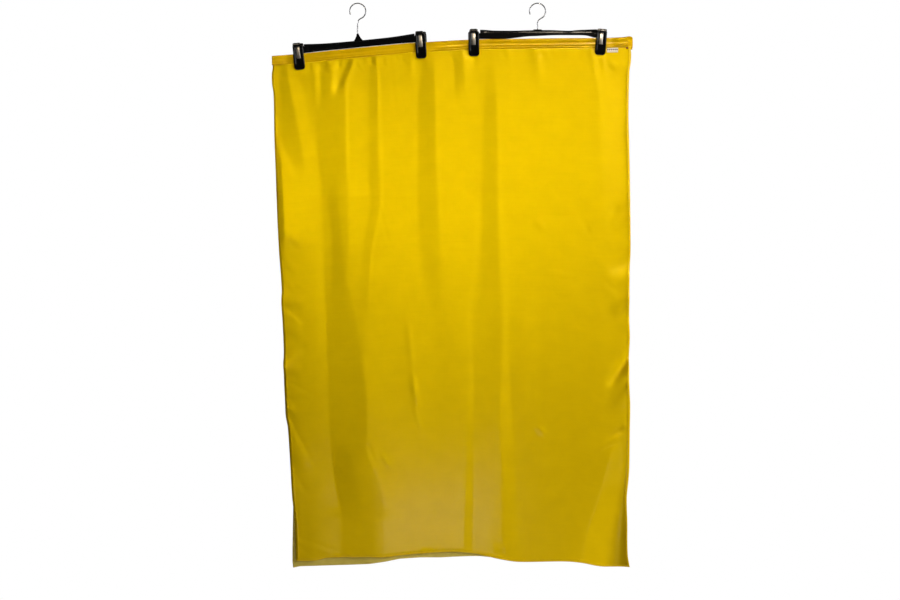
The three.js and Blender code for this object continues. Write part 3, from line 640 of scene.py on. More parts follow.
def tube_faces(rings, around, capped=False):
    """The faces of a tube that joins rings of points, with its two ends closed if it is capped."""
    faces = []
    for i in range(rings - 1):
        for k in range(around):
            a, b = i * around + k, i * around + (k + 1) % around
            faces.append((a, b, b + around, a + around))
    if capped:
        last = rings * around - 1
        faces.append(tuple(range(around)))
        faces.append(tuple(range(last, last - around, -1)))
    return faces


# ------------------------------------------------------------------ materials

def hex_to_linear(code, alpha=1.0):
    """An sRGB hex colour, such as d9b400, as linear red, green, blue and alpha."""
    shades = [int(code[i:i + 2], 16) / 255 for i in (0, 2, 4)]
    linear = [s / 12.92 if s <= 0.04045 else ((s + 0.055) / 1.055) ** 2.4 for s in shades]
    return (*linear, alpha)


def node(tree, kind, inputs=None, **settings):
    """Adds one node, sets its properties, and sets or links its inputs."""
    added = tree.nodes.new(kind)
    for key, value in settings.items():
        setattr(added, key, value)
    for key, value in (inputs or {}).items():
        if isinstance(value, bpy.types.NodeSocket):
            tree.links.new(value, added.inputs[key])
        else:
            added.inputs[key].default_value = value
    return added


def new_material(name):
    """An empty material and its tree of nodes."""
    material = bpy.data.materials.new(name)
    material.use_nodes = True
    tree = material.node_tree
    tree.nodes.clear()
    return material, tree


def finish_material(tree, shader):
    node(tree, "ShaderNodeOutputMaterial", {"Surface": shader.outputs["BSDF"]})


def satin(name, light, dark):
    """Polyester satin: long floats of bright filament yarn, so the shine takes the yarn's own colour
    and stretches across the floats. The filaments' smooth skins add a faint white glaze. The cloth
    is a little uneven, slubs run along the weft, and faint watered bands lie in patches; all are
    drawn coarser than the real ones, which are too fine to show. The map is in metres, so that a
    scale of 24 is a mottle about 40 mm across. The slubs are 110 mm long and 4 mm high, and the
    bands lie 12 mm apart in patches of 250 mm."""
    material, tree = new_material(name)
    uv = node(tree, "ShaderNodeUVMap", uv_map="weave")
    place = uv.outputs["UV"]
    mottle = node(tree, "ShaderNodeTexNoise", {"Vector": place, "Scale": 24.0, "Detail": 3.0})
    weft = node(tree, "ShaderNodeMapping", {"Vector": place, "Scale": (9.0, 260.0, 1.0)})
    slub = node(tree, "ShaderNodeTexNoise", {
        "Vector": weft.outputs["Vector"], "Scale": 1.0, "Detail": 3.0,
    })
    water = node(tree, "ShaderNodeTexWave", {
        "Vector": place, "Scale": 26.0, "Distortion": 7.0, "Detail": 2.0, "Detail Scale": 0.6,
    }, bands_direction="Y")
    patch = node(tree, "ShaderNodeTexNoise", {"Vector": place, "Scale": 4.0, "Detail": 1.0})
    wet = node(tree, "ShaderNodeMapRange", {
        "Value": patch.outputs["Fac"], "From Min": 0.45, "From Max": 0.65,
    })
    tone = node(tree, "ShaderNodeMix", {
        "Factor": 0.3, "A": mottle.outputs["Fac"], "B": slub.outputs["Fac"],
    })
    spread = node(tree, "ShaderNodeMapRange", {
        "Value": tone.outputs[0], "From Min": 0.35, "From Max": 0.65,
    })
    colour = node(tree, "ShaderNodeMix", {
        "Factor": spread.outputs["Result"], "A": hex_to_linear(dark), "B": hex_to_linear(light),
    }, data_type="RGBA")
    bands = node(tree, "ShaderNodeMath", {
        0: water.outputs["Fac"], 1: wet.outputs["Result"],
    }, operation="MULTIPLY")
    fine = node(tree, "ShaderNodeMath", {
        0: bands.outputs[0], 1: 0.06, 2: mottle.outputs["Fac"],
    }, operation="MULTIPLY_ADD")
    height = node(tree, "ShaderNodeMath", {
        0: slub.outputs["Fac"], 1: 0.05, 2: fine.outputs[0],
    }, operation="MULTIPLY_ADD")
    bump = node(tree, "ShaderNodeBump", {
        "Height": height.outputs[0], "Strength": 1.0, "Distance": 0.0005,
    })
    tangent = node(tree, "ShaderNodeTangent", direction_type="UV_MAP", uv_map="weave")
    shader = node(tree, "ShaderNodeBsdfPrincipled", {
        "Base Color": colour.outputs[2],
        "Metallic": 0.3,
        "Roughness": 0.45,
        "Anisotropic": 0.4,
        "Specular Tint": hex_to_linear("ffd21e"),
        "Coat Weight": 0.3,
        "Coat Roughness": 0.18,
        "Normal": bump.outputs["Normal"],
        "Tangent": tangent.outputs["Tangent"],
    })
    finish_material(tree, shader)
    return material


def black_plastic():
    """Moulded black polystyrene: a hard, glossy skin with a very faint ripple from the mould, about
    17 mm across."""
    material, tree = new_material("moulded_black_polystyrene")
    place = node(tree, "ShaderNodeTexCoord")
    ripple = node(tree, "ShaderNodeTexNoise", {
        "Vector": place.outputs["Object"], "Scale": 60.0, "Detail": 2.0,
    })
    bump = node(tree, "ShaderNodeBump", {
        "Height": ripple.outputs["Fac"], "Strength": 0.03, "Distance": 0.001,
    })
    shader = node(tree, "ShaderNodeBsdfPrincipled", {
        "Base Color": hex_to_linear("020202"),
        "Roughness": 0.14,
        "IOR": 1.59,
        "Normal": bump.outputs["Normal"],
    })
    finish_material(tree, shader)
    return material


def bright_metal(name, code, roughness):
    """Plated steel, drawn or rolled: a bright skin with faint duller marks, 2.5 mm apart."""
    material, tree = new_material(name)
    place = node(tree, "ShaderNodeTexCoord")
    marks = node(tree, "ShaderNodeTexNoise", {
        "Vector": place.outputs["Object"], "Scale": 400.0, "Detail": 2.0,
    })
    worn = node(tree, "ShaderNodeMapRange", {
        "Value": marks.outputs["Fac"], "To Min": roughness * 0.8, "To Max": roughness * 1.3,
    })
    shader = node(tree, "ShaderNodeBsdfPrincipled", {
        "Base Color": hex_to_linear(code),
        "Metallic": 1.0,
        "Roughness": worn.outputs["Result"],
    })
    finish_material(tree, shader)
    return material


def woven_tape():
    """Cream polyester label tape: matt, with a cross-wise rib at 0.6 mm and a row of woven diamonds
    in dark yarn. Its piece carries the map "tape", 1 by 1 across and up."""
    material, tree = new_material("woven_polyester_tape")
    uv = node(tree, "ShaderNodeUVMap", uv_map="tape")
    part = node(tree, "ShaderNodeSeparateXYZ", {"Vector": uv.outputs["UV"]})
    across, up = part.outputs["X"], part.outputs["Y"]
    # Six diamonds, each as wide as it is high on a label 28 mm by 12.
    repeat = node(tree, "ShaderNodeMath", {0: across, 1: 6.0}, operation="MULTIPLY")
    share = node(tree, "ShaderNodeMath", {0: repeat.outputs[0]}, operation="FRACT")
    middle = node(tree, "ShaderNodeMath", {0: share.outputs[0], 1: 0.5}, operation="SUBTRACT")
    aside = node(tree, "ShaderNodeMath", {0: middle.outputs[0]}, operation="ABSOLUTE")
    raised = node(tree, "ShaderNodeMath", {0: up, 1: 0.62}, operation="SUBTRACT")
    above = node(tree, "ShaderNodeMath", {0: raised.outputs[0]}, operation="ABSOLUTE")
    taxi = node(tree, "ShaderNodeMath", {
        0: above.outputs[0], 1: 2.5, 2: aside.outputs[0],
    }, operation="MULTIPLY_ADD")
    figure = node(tree, "ShaderNodeMapRange", {
        "Value": taxi.outputs[0], "From Min": 0.42, "From Max": 0.5,
    })
    colour = node(tree, "ShaderNodeMix", {
        "Factor": figure.outputs["Result"], "A": hex_to_linear("5c4030"), "B": hex_to_linear("f0dcc0"),
    }, data_type="RGBA")
    ribs = node(tree, "ShaderNodeMath", {0: up, 1: 130.0}, operation="MULTIPLY")
    wave = node(tree, "ShaderNodeMath", {0: ribs.outputs[0]}, operation="SINE")
    bump = node(tree, "ShaderNodeBump", {
        "Height": wave.outputs[0], "Strength": 0.3, "Distance": 0.0001,
    })
    shader = node(tree, "ShaderNodeBsdfPrincipled", {
        "Base Color": colour.outputs[2], "Roughness": 0.8, "Normal": bump.outputs["Normal"],
    })
    finish_material(tree, shader)
    return material


def thread(name, code):
    """Spun polyester thread: soft and slightly shiny. Its ply is drawn coarser, at about 1 mm,
    because the real one is too fine to show."""
    material, tree = new_material(name)
    place = node(tree, "ShaderNodeTexCoord")
    ply = node(tree, "ShaderNodeTexNoise", {
        "Vector": place.outputs["Object"], "Scale": 900.0, "Detail": 1.0,
    })
    bump = node(tree, "ShaderNodeBump", {
        "Height": ply.outputs["Fac"], "Strength": 0.2, "Distance": 0.0003,
    })
    shader = node(tree, "ShaderNodeBsdfPrincipled", {
        "Base Color": hex_to_linear(code), "Roughness": 0.6, "Normal": bump.outputs["Normal"],
    })
    finish_material(tree, shader)
    return material


PANEL_SATIN = satin("golden_polyester_satin", "f2c800", "edc300")
# The sleeve's satin is darker than the panel's: partly for its doubled cloth, partly painted shade
# because the sleeve gets less light.
SLEEVE_SATIN_SHADED = satin("doubled_satin_painted_shade", "e6b600", "dcac00")
BACK_SATIN = satin("reverse_of_golden_satin", "e6cf62", "d8c052")
BLACK = black_plastic()
WIRE = bright_metal("plated_steel_wire", "c9c9cc", 0.2)
STRIP = bright_metal("spring_steel_strip", "d8d0c2", 0.3)
TAPE = woven_tape()
THREAD_SATIN = thread("golden_polyester_thread", "d8a400")
# Dark thread for painted shadow: it darkens the open end of the seam, which lies in shade.
SEAM_SHADE_THREAD = thread("dark_red_thread_painted_seam_shadow", "8c1e00")


# ------------------------------------------------------------------ the panel

def panel_grid():
    """Shares across the panel and down it: close together in the hems and under the seam."""
    hem = (HEM + 1.5) / (2 * HALF_WIDTH)
    across = np.concatenate([
        np.linspace(0, hem, 8)[:-1],
        np.linspace(hem, 0.12, 32)[:-1],
        np.linspace(0.12, 0.32, 45)[:-1],
        np.linspace(0.32, 0.64, 58)[:-1],
        np.linspace(0.64, 0.88, 34)[:-1],
        np.linspace(0.88, 1 - hem, 26),
        np.linspace(1 - hem, 1, 7)[1:],
    ])
    hem = (HEM + 1.5) / PANEL_DROP
    down = np.concatenate([
        np.linspace(0, 0.06, 26)[:-1],
        np.linspace(0.06, 1 - hem, 206),
        np.linspace(1 - hem, 1, 7)[1:],
    ])
    return across, down


def panel_surface(u, v):
    """Points of the panel's middle surface at shares across and down it."""
    nominal = (2 * u - 1) * HALF_WIDTH
    top = sleeve_bottom(nominal) + SEAM_TUCK
    foot_left, foot_right = PANEL_BOTTOM[0][0], PANEL_BOTTOM[-1][0]
    hem = read_curve(PANEL_BOTTOM, foot_left + (foot_right - foot_left) * u)
    z = top + (hem - top) * v
    left = read_curve(PANEL_LEFT, z)
    right = read_curve(PANEL_RIGHT, z)
    x = left + (right - left) * u
    y = cloth_depth(x, z)
    from_left = u * (right - left)
    from_side = np.minimum(from_left, (1 - u) * (right - left))
    from_edge = np.minimum(from_side, (1 - v) * (top - hem))
    y -= HEM_RISE * smooth((HEM + 1 - from_edge) / HEM_STEP)
    y += HEM_ROLL * (1 - smooth(from_edge / HEM_ROLL_WIDTH))
    y += read_curve(LEFT_CURL, z) * (1 - smooth(from_left / LEFT_CURL_WIDTH))
    return x, y, z


def make_panel():
    """The flag's cloth, a fine grid with all its folds, and its hems as raised edges."""
    across, down = panel_grid()
    u, v = np.meshgrid(across, down)
    x, y, z = panel_surface(u, v)
    faces = grid_faces(len(across) - 1, len(down) - 1)
    panel = new_mesh("satin_flag_panel", point_rows(x, y, z), faces, PANEL_SATIN)
    flat = np.stack([u.ravel() * PANEL_FLAT[0], (1 - v.ravel()) * PANEL_FLAT[1]], axis=-1)
    lay_map(panel, "weave", flat)
    thicken(panel, CLOTH)
    return panel


def make_back_hem():
    """The back layer of the turned hem, where it hangs a little lower than the front one."""
    edge = np.array(BACK_HEM_EDGE, float)
    run = run_along(edge)
    at = np.linspace(0, run[-1], 150)
    outer_x = np.interp(at, run, edge[:, 0])
    outer_z = np.interp(at, run, edge[:, 1])
    inner_x = np.maximum(outer_x, BACK_HEM_INNER)
    inner_z = np.maximum(outer_z, read_curve(PANEL_BOTTOM, inner_x) + BACK_HEM_COVERED)
    share = np.linspace(0, 1, 9)[:, None]
    x = inner_x + (outer_x - inner_x) * share
    z = inner_z + (outer_z - inner_z) * share
    wrinkle = 0.5 * ripple(x + 0.6 * z + 850, 16, 12)
    y = cloth_depth(x, z) + BACK_HEM_GAP + share * (1.0 + wrinkle)
    faces = grid_faces(len(at) - 1, len(share) - 1)
    layer = new_mesh("turned_hem_back_layer", point_rows(x, y, z), faces, BACK_SATIN)
    lay_map(layer, "weave", np.stack([x.ravel(), z.ravel()], axis=-1) * MM + 2)
    thicken(layer, BACK_HEM_THICKNESS)
    mend_facing(layer)
    return layer


# ------------------------------------------------------------------ the sleeve

def sleeve_half_depth(x):
    """Half the sleeve's depth: pressed at the clips, slack between them, open at its mouths."""
    nearest = np.min([np.abs(x - middle) for middle in CLIP_MIDDLES], axis=0)
    outside = (x < CLIP_MIDDLES[0]) | (x > CLIP_MIDDLES[-1])
    free = np.where(outside, SLEEVE_MOUTH, SLEEVE_SLACK)
    reach = np.where(outside, 20.0, 60.0)
    return SLEEVE_PRESSED + (free - SLEEVE_PRESSED) * smooth((nearest - 26) / reach)


def ripple(x, spacing, seed):
    """A soft random line between -1 and 1, with a bend about every spacing."""
    count = int(2 * HALF_WIDTH / spacing) + 3
    value = np.random.default_rng(seed).uniform(-1, 1, count)
    return read_curve([(-HALF_WIDTH - 20 + i * spacing, value[i]) for i in range(count)], x)


def sleeve_stations():
    """Places along the sleeve, closer together at its two ends."""
    ends = HALF_WIDTH - 30
    return np.concatenate([
        np.linspace(-HALF_WIDTH, -ends, 14)[:-1],
        np.linspace(-ends, ends, 300)[:-1],
        np.linspace(ends, HALF_WIDTH, 18),
    ])


def sleeve_surface(x, high, front):
    """Points of the sleeve at places along it, shares of its height and shares of its half depth."""
    top, bottom = sleeve_top(x), sleeve_bottom(x)
    z = bottom + (top - bottom) * high
    # The front's crease and groove are faint on the left and deep on the right.
    relief = 0.35 + 0.95 * smooth((x + 110) / 200)
    inside = smooth(6 * high - 0.4) * smooth(6 - 6 * high) * (front < -0.3)
    y = (front + (1 - relief) * inside * (-0.93 - front)) * sleeve_half_depth(x)
    # The cloth is a little slack away from the clips, most of all along the seam.
    facing = smooth(-2 * front)
    free = 1 - held_by_clips(x, 0)
    low = smooth(1 - 3 * high)
    slack = 0.28 * ripple(x, 38, 3) * smooth(2 * high) + 0.4 * ripple(x, 9, 5) * low
    y += facing * free * slack
    z += free * 0.35 * ripple(x, 11, 8) * low
    y += facing * line_depth(x, z, SLEEVE_CREASES, from_edge=False)
    # At the right end the back layer hangs lower and sticks out.
    behind = smooth(front * 0.5 + 0.35)
    z -= BACK_DROP * smooth((x - 436) / 14) * behind * smooth(1.6 - 2 * high)
    x = x + BACK_REACH * smooth((x - 428) / 30) * behind
    return x, y, z


def lay_sleeve_map(sleeve, stations, height):
    """The weave's map, unrolled round the sleeve from its top fold, without a jump at its end."""
    around = len(height)
    run = np.concatenate([[0], np.cumsum(np.abs(np.diff(height)) * 26 + 0.4)]) * MM
    weave = sleeve.data.uv_layers.new(name="weave")
    for face in sleeve.data.polygons:
        s, k = divmod(face.index, around)
        along = [stations[s], stations[s], stations[s + 1], stations[s + 1]]
        down = [k, k + 1, k + 1, k]
        for loop, place, step in zip(face.loop_indices, along, down):
            depth = run[step] if step < around else run[-1] + 0.4 * MM
            weave.data[loop].uv = (place * MM + 0.5, depth)


def make_sleeve():
    """The doubled strip that holds the pole, open at both ends."""
    section = np.array(SLEEVE_SECTION)
    height, forward = section[:, 0], section[:, 1]
    stations = sleeve_stations()
    x, high = np.meshgrid(stations, height, indexing="ij")
    surface = sleeve_surface(x, high, np.broadcast_to(forward, x.shape))
    faces = tube_faces(len(stations), len(height))
    sleeve = new_mesh("pole_sleeve_satin", point_rows(*surface), faces, SLEEVE_SATIN_SHADED)
    lay_sleeve_map(sleeve, stations, height)
    thicken(sleeve, SLEEVE_WALL, offset=-1)
    return sleeve


# ------------------------------------------------------------------ thread and label

def path_piece(name, lines):
    """Loose edges along the given lines of points, for a tree of nodes to work on."""
    points, edges = [], []
    for line in lines:
        first = len(points)
        points.extend(tuple(np.asarray(point) * MM) for point in line)
        edges.extend((i, i + 1) for i in range(first, len(points) - 1))
    mesh = bpy.data.meshes.new(name)
    mesh.from_pydata(points, edges, [])
    piece = bpy.data.objects.new(name, mesh)
    bpy.context.scene.collection.objects.link(piece)
    return piece


def new_tree(name, inputs):
    """A tree that changes a mesh, with the given inputs beside the mesh itself."""
    tree = bpy.data.node_groups.new(name, "GeometryNodeTree")
    tree.interface.new_socket("Geometry", in_out="INPUT", socket_type="NodeSocketGeometry")
    for label, kind in inputs.items():
        tree.interface.new_socket(label, in_out="INPUT", socket_type=kind)
    tree.interface.new_socket("Geometry", in_out="OUTPUT", socket_type="NodeSocketGeometry")
    return tree


def grow(piece, tree, values):
    """Puts a tree on a piece with its named inputs set, and keeps the mesh that it makes."""
    growth = piece.modifiers.new(tree.name, "NODES")
    growth.node_group = tree
    for socket in tree.interface.items_tree:
        if socket.in_out == "INPUT" and socket.name in values:
            growth[socket.identifier] = values[socket.name]
    bake(piece)
    return piece


def stitch_tree():
    """Stitches as slim beads along a line, each turned a little at random."""
    tree = new_tree("running_stitches", {
        "Pitch": "NodeSocketFloat", "Length": "NodeSocketFloat", "Thickness": "NodeSocketFloat",
        "Thread": "NodeSocketMaterial",
    })
    given = node(tree, "NodeGroupInput")
    line = node(tree, "GeometryNodeMeshToCurve", {"Mesh": given.outputs["Geometry"]})
    spaced = node(
        tree, "GeometryNodeResampleCurve",
        {"Curve": line.outputs[0], "Length": given.outputs["Pitch"]}, mode="LENGTH",
    )
    bead = node(tree, "GeometryNodeMeshUVSphere", {"Segments": 6, "Rings": 5, "Radius": 0.5})
    size = node(tree, "ShaderNodeCombineXYZ", {
        "X": given.outputs["Thickness"], "Y": given.outputs["Thickness"], "Z": given.outputs["Length"],
    })
    slim = node(tree, "GeometryNodeTransform", {
        "Geometry": bead.outputs["Mesh"], "Scale": size.outputs[0],
    })
    heading = node(tree, "GeometryNodeInputTangent")
    turn = node(tree, "FunctionNodeAlignRotationToVector", {"Vector": heading.outputs[0]}, axis="Z")
    sway = node(tree, "FunctionNodeRandomValue", {
        "Min": (-0.06, -0.06, 0), "Max": (0.06, 0.06, 0), "Seed": 4,
    }, data_type="FLOAT_VECTOR")
    swayed = node(tree, "FunctionNodeRotateRotation", {
        "Rotation": turn.outputs[0], "Rotate By": sway.outputs[0],
    })
    sewn = node(tree, "GeometryNodeInstanceOnPoints", {
        "Points": spaced.outputs[0], "Instance": slim.outputs[0], "Rotation": swayed.outputs[0],
    })
    real = node(tree, "GeometryNodeRealizeInstances", {"Geometry": sewn.outputs[0]})
    rounded = node(tree, "GeometryNodeSetShadeSmooth", {"Geometry": real.outputs[0]})
    sewing = node(tree, "GeometryNodeSetMaterial", {
        "Geometry": rounded.outputs[0], "Material": given.outputs["Thread"],
    })
    node(tree, "NodeGroupOutput", {"Geometry": sewing.outputs[0]})
    return tree


def wire_tree():
    """A round wire or thread swept along a line of points, which it passes smoothly."""
    tree = new_tree("round_wire", {"Radius": "NodeSocketFloat", "Finish": "NodeSocketMaterial"})
    given = node(tree, "NodeGroupInput")
    line = node(tree, "GeometryNodeMeshToCurve", {"Mesh": given.outputs["Geometry"]})
    bent = node(
        tree, "GeometryNodeCurveSplineType", {"Curve": line.outputs[0]}, spline_type="CATMULL_ROM",
    )
    fine = node(tree, "GeometryNodeResampleCurve", {"Curve": bent.outputs[0], "Count": 140})
    ring = node(tree, "GeometryNodeCurvePrimitiveCircle", {
        "Resolution": 16, "Radius": given.outputs["Radius"],
    })
    swept = node(tree, "GeometryNodeCurveToMesh", {
        "Curve": fine.outputs[0], "Profile Curve": ring.outputs[0], "Fill Caps": True,
    })
    finished = node(tree, "GeometryNodeSetMaterial", {
        "Geometry": swept.outputs[0], "Material": given.outputs["Finish"],
    })
    node(tree, "NodeGroupOutput", {"Geometry": finished.outputs[0]})
    return tree


def panel_line(across, down, side):
    """Points just off the panel's front or back, at shares across and down it."""
    u, v = np.broadcast_arrays(np.asarray(across, float), np.asarray(down, float))
    x, y, z = panel_surface(u, v)
    return np.stack([x, y + side * (CLOTH / 2 + THREAD * 0.2), z], axis=-1)


def hem_lines():
    """The three hems' stitch lines, seen on the face and on the back of the cloth."""
    side = (HEM - 1.2) / (2 * HALF_WIDTH)
    foot = (HEM - 1.2) / PANEL_DROP
    down = np.linspace(0.004, 1 - foot, 420)
    across = np.linspace(side, 1 - side, 300)
    lines = []
    for face in (-1, 1):
        lines.append(panel_line(side, down, face))
        lines.append(panel_line(1 - side, down, face))
        lines.append(panel_line(across, 1 - foot, face))
    return lines


def sleeve_line(high, face):
    """Points along the sleeve's front or back, at a share of its height."""
    section = np.array(SLEEVE_SECTION)
    half = len(section) // 2
    side = section[:half] if face < 0 else section[half:]
    order = np.argsort(side[:, 0])
    forward = np.interp(high, side[order, 0], side[order, 1])
    x = np.linspace(-HALF_WIDTH + 1, HALF_WIDTH - 2, 320)
    y = forward * sleeve_half_depth(x) + face * THREAD * 0.2
    z = sleeve_bottom(x) + (sleeve_top(x) - sleeve_bottom(x)) * high
    return np.stack([x, y, z], axis=-1)


def make_stitches():
    """All golden stitching, along the three hems and the sleeve, on the face and on the back."""
    lines = hem_lines() + [sleeve_line(STITCH_SHARE, -1), sleeve_line(STITCH_SHARE, 1)]
    return grow(path_piece("golden_stitching", lines), stitch_tree(), {
        "Pitch": STITCH_PITCH * MM, "Length": STITCH_LENGTH * MM, "Thickness": THREAD * MM,
        "Thread": THREAD_SATIN,
    })


def make_seam_shade():
    """Dark thread by the right edge, painted shadow where the seam's open end lies in shade."""
    low, high = SEAM_SHADE_HEIGHTS
    lines = []
    for x in np.linspace(*SEAM_SHADE_SIDES, 8):
        out = -0.95 * float(sleeve_half_depth(np.array([x]))[0])
        lines.append([(x, out, low), (x + 0.25, out - 0.4, (low + high) / 2), (x, out, high)])
    return grow(path_piece("dark_thread_painted_seam_shadow", lines), wire_tree(), {
        "Radius": SEAM_SHADE_RADIUS * MM, "Finish": SEAM_SHADE_THREAD,
    })


def make_label():
    """The tape under the sleeve: its middle bows a little off the cloth towards its free edge."""
    u, v = np.meshgrid(np.linspace(0, 1, 25), np.linspace(0, 1, 11))
    x = LABEL_LEFT + LABEL_WIDTH * u
    z = sleeve_bottom(x) - LABEL_DROP - LABEL_HEIGHT * v
    y = cloth_depth(x, z) - CLOTH / 2 - 0.5 - 0.5 * np.sin(math.pi * u) * v
    label = new_mesh("woven_label", point_rows(x, y, z), grid_faces(24, 10), TAPE)
    lay_map(label, "tape", np.stack([u.ravel(), 1 - v.ravel()], axis=-1))
    thicken(label, LABEL_THICKNESS)
    return label


# ------------------------------------------------------------------ hangers and clips

def moulded_bar(name, bar):
    """A hanger's bar: a thin web between two flanges, solid under the clips and in the neck."""
    left, right = bar["seats"]
    neck_top, neck_foot = bar["neck"]
    along = np.unique(np.concatenate([
        np.linspace(-BAR_HALF, left, 8), np.linspace(left + 0.3, right - 0.3, 90),
        np.linspace(-neck_foot, neck_foot, 41), np.linspace(right, BAR_HALF, 6),
    ]))
    body_top = read_curve(bar["top"], along)
    bottom = read_curve(bar["bottom"], along)
    flank = np.clip((np.abs(along) - neck_top) / (neck_foot - neck_top), 0, 1)
    on_seat = (along <= left) | (along >= right)
    top = np.where(on_seat, bar["seat"], body_top * flank ** 0.65)
    body_top = np.minimum(top, body_top)
    sunk = smooth((np.minimum(along - left, right - along) - BAR_FLANGE) / 12)
    web = BAR_FRONT - (BAR_FRONT - BAR_WEB) * sunk
    lip = np.maximum(web, BAR_FRONT - BAR_STEP)
    under, over = body_top - BAR_FLANGE, np.maximum(bottom + BAR_FLANGE, bar["shelf"])
    cove_top = np.minimum(over + BAR_STEP + bar["cove"], under - 0.4)
    cove_out = web + 0.14 * bar["cove"] * sunk
    rows = [
        (BAR_FRONT - BAR_EDGE, top), (BAR_FRONT - 0.3 * BAR_EDGE, top - 0.3 * BAR_EDGE),
        (BAR_FRONT, top - BAR_EDGE), (BAR_FRONT, under + BAR_STEP), (lip, under), (web, under - 0.2),
        (web, cove_top), (cove_out, over + BAR_STEP), (lip, over), (BAR_FRONT, over - BAR_STEP),
        (BAR_FRONT, bottom + BAR_EDGE), (BAR_FRONT - 0.3 * BAR_EDGE, bottom + 0.3 * BAR_EDGE),
        (BAR_FRONT - BAR_EDGE, bottom),
    ]
    ring = [(-out, high) for out, high in rows] + rows[::-1]
    out = np.stack([np.broadcast_to(row[0], along.shape) for row in ring], axis=1)
    high = np.stack([row[1] for row in ring], axis=1)
    tilt = math.radians(bar["tilt"])
    x = bar["x"] + along[:, None] * math.cos(tilt) - high * math.sin(tilt)
    z = bar["z"] + along[:, None] * math.sin(tilt) + high * math.cos(tilt)
    faces = tube_faces(len(along), len(ring), capped=True)
    piece = new_mesh(name, point_rows(x, out, z), faces, BLACK)
    mend_facing(piece)
    piece.modifiers.new("normals", "WEIGHTED_NORMAL")
    bake(piece)
    return piece


def hook_line(foot_x, foot_z, tilt):
    """The shank up from its socket, a short lean, and the round bend over the rail."""
    middle = WIRE_RADIUS - HOOK_BEND
    lean = math.radians(tilt)
    line = [
        (foot_x - rise * math.sin(lean), 0, foot_z + rise * math.cos(lean)) for rise in (0.1, 2, 6)
    ]
    line.append((foot_x + HOOK_BOW, 0, middle - HOOK_BEND - 3 * WIRE_RADIUS))
    for turn in HOOK_ANGLES:
        angle = math.radians(turn)
        line.append((foot_x + HOOK_BEND * math.cos(angle), 0, middle + HOOK_BEND * math.sin(angle)))
    return line


def jaw_half_width(z, tab_half, tab_shift):
    """The jaw's left and right sides at a height: a narrower finger tab, shoulders, a round tip."""
    tab = smooth((z - 0.5) / 4.0)
    half = JAW_HALF + (tab_half - JAW_HALF) * tab
    top = np.clip((z - (JAW_TOP - 3.0)) / 3.0, 0, 1)
    half = half - 3.0 * (1 - np.sqrt(1 - top ** 2))
    tip = np.clip((JAW_TIP + JAW_CORNER - z) / JAW_CORNER, 0, 1)
    half = half - JAW_CORNER * (1 - np.sqrt(1 - tip ** 2))
    return tab * tab_shift - half, tab * tab_shift + half


def jaw_outside(x, z, left, right):
    """How far the jaw's outer face stands out: full at the spring, thin at the tip, round at its
    rim, with a sunk panel round the spring's window."""
    swell = read_curve(JAW_OUTSIDE, -z)
    middle, half = (left + right) / 2, (right - left) / 2
    rim = np.minimum(half - np.abs(x - middle), np.minimum(z - JAW_TIP, JAW_TOP - z) + 0.6)
    edge = np.clip(1 - rim / JAW_RIM, 0, 1)
    swell = swell - 2.0 * (1 - np.sqrt(1 - edge ** 2))
    inset = np.minimum(JAW_PANEL_HALF - np.abs(x), -1.5 - z)
    return swell - 0.85 * smooth(inset / 1.1 + 0.5) * smooth((z + 50) / 18)


def jaw_grid(clip, facing):
    """The jaw's grid: shares across it, heights, places across, and its left and right sides. The
    columns in the window and on its edges stand upright."""
    rows = JAW_TOP - JAW_LENGTH * np.array([
        *np.linspace(0, 0.05, 6), *np.linspace(0.068, 0.135, 5), *np.linspace(0.155, 0.58, 26),
        *np.linspace(0.60, 0.90, 16), *np.linspace(0.91, 1.0, 14),
    ])
    right_half = [0.2, WINDOW_SHARE, 0.45, 0.55, 0.62, 0.65, 0.68, 0.71, 0.75]
    left_half = [-share for share in right_half[::-1]]
    shares = np.array([
        *np.linspace(-1, -0.8, 9), *left_half, 0.0, *right_half, *np.linspace(0.8, 1, 9),
    ])
    s, z = np.meshgrid(shares, rows)
    left, right = jaw_half_width(z, clip["tab_half"], -facing * clip["tab_shift"])
    x = (left + right) / 2 + s * (right - left) / 2
    x = np.where(np.abs(s) < WINDOW_SHARE + 0.04, s * JAW_HALF, x)
    return s, z, x, left, right


def shell_faces(keep):
    """The faces of a closed shell between two grids of points, the outer one first. `keep` says
    which cells of the grids exist; walls close every border that they leave."""
    down, across = keep.shape[0] + 1, keep.shape[1] + 1
    kept = np.pad(keep, 1)
    faces = []

    def quad(layer, r, c, flip):
        base = layer * across * down
        a, b = base + r * across + c, base + r * across + c + 1
        loop = (a, b, b + across, a + across)
        faces.append(loop[::-1] if flip else loop)

    def wall(r1, c1, r2, c2):
        a, b = r1 * across + c1, r2 * across + c2
        faces.append((a, b, b + across * down, a + across * down))

    for r in range(down - 1):
        for c in range(across - 1):
            if not keep[r, c]:
                continue
            quad(0, r, c, False)
            quad(1, r, c, True)
            if not kept[r + 1, c]:
                wall(r + 1, c, r, c)
            if not kept[r + 1, c + 2]:
                wall(r, c + 1, r + 1, c + 1)
            if not kept[r, c + 1]:
                wall(r, c, r, c + 1)
            if not kept[r + 2, c + 1]:
                wall(r + 1, c + 1, r + 1, c)
    return faces


def jaw_mesh(name, clip, facing):
    """One jaw of a clip as a closed shell, with a window that lets the spring in. `facing` is -1
    for the front jaw and 1 for the back one."""
    s, z, x, left, right = jaw_grid(clip, facing)
    outer = jaw_outside(x, z, left, right)
    inner = np.minimum(read_curve(JAW_INSIDE, -z), outer - 0.25)
    points = np.concatenate([
        np.stack([x, depth, z], axis=-1).reshape(-1, 3) for depth in (outer, inner)
    ])
    between = np.abs((s[1:, 1:] + s[:-1, :-1]) / 2) < WINDOW_SHARE
    keep = ~(between & (z[:-1, :-1] < WINDOW_TOP) & (z[1:, 1:] > WINDOW_FOOT))
    return place_in_clip(name, points, shell_faces(keep), clip, facing, BLACK)


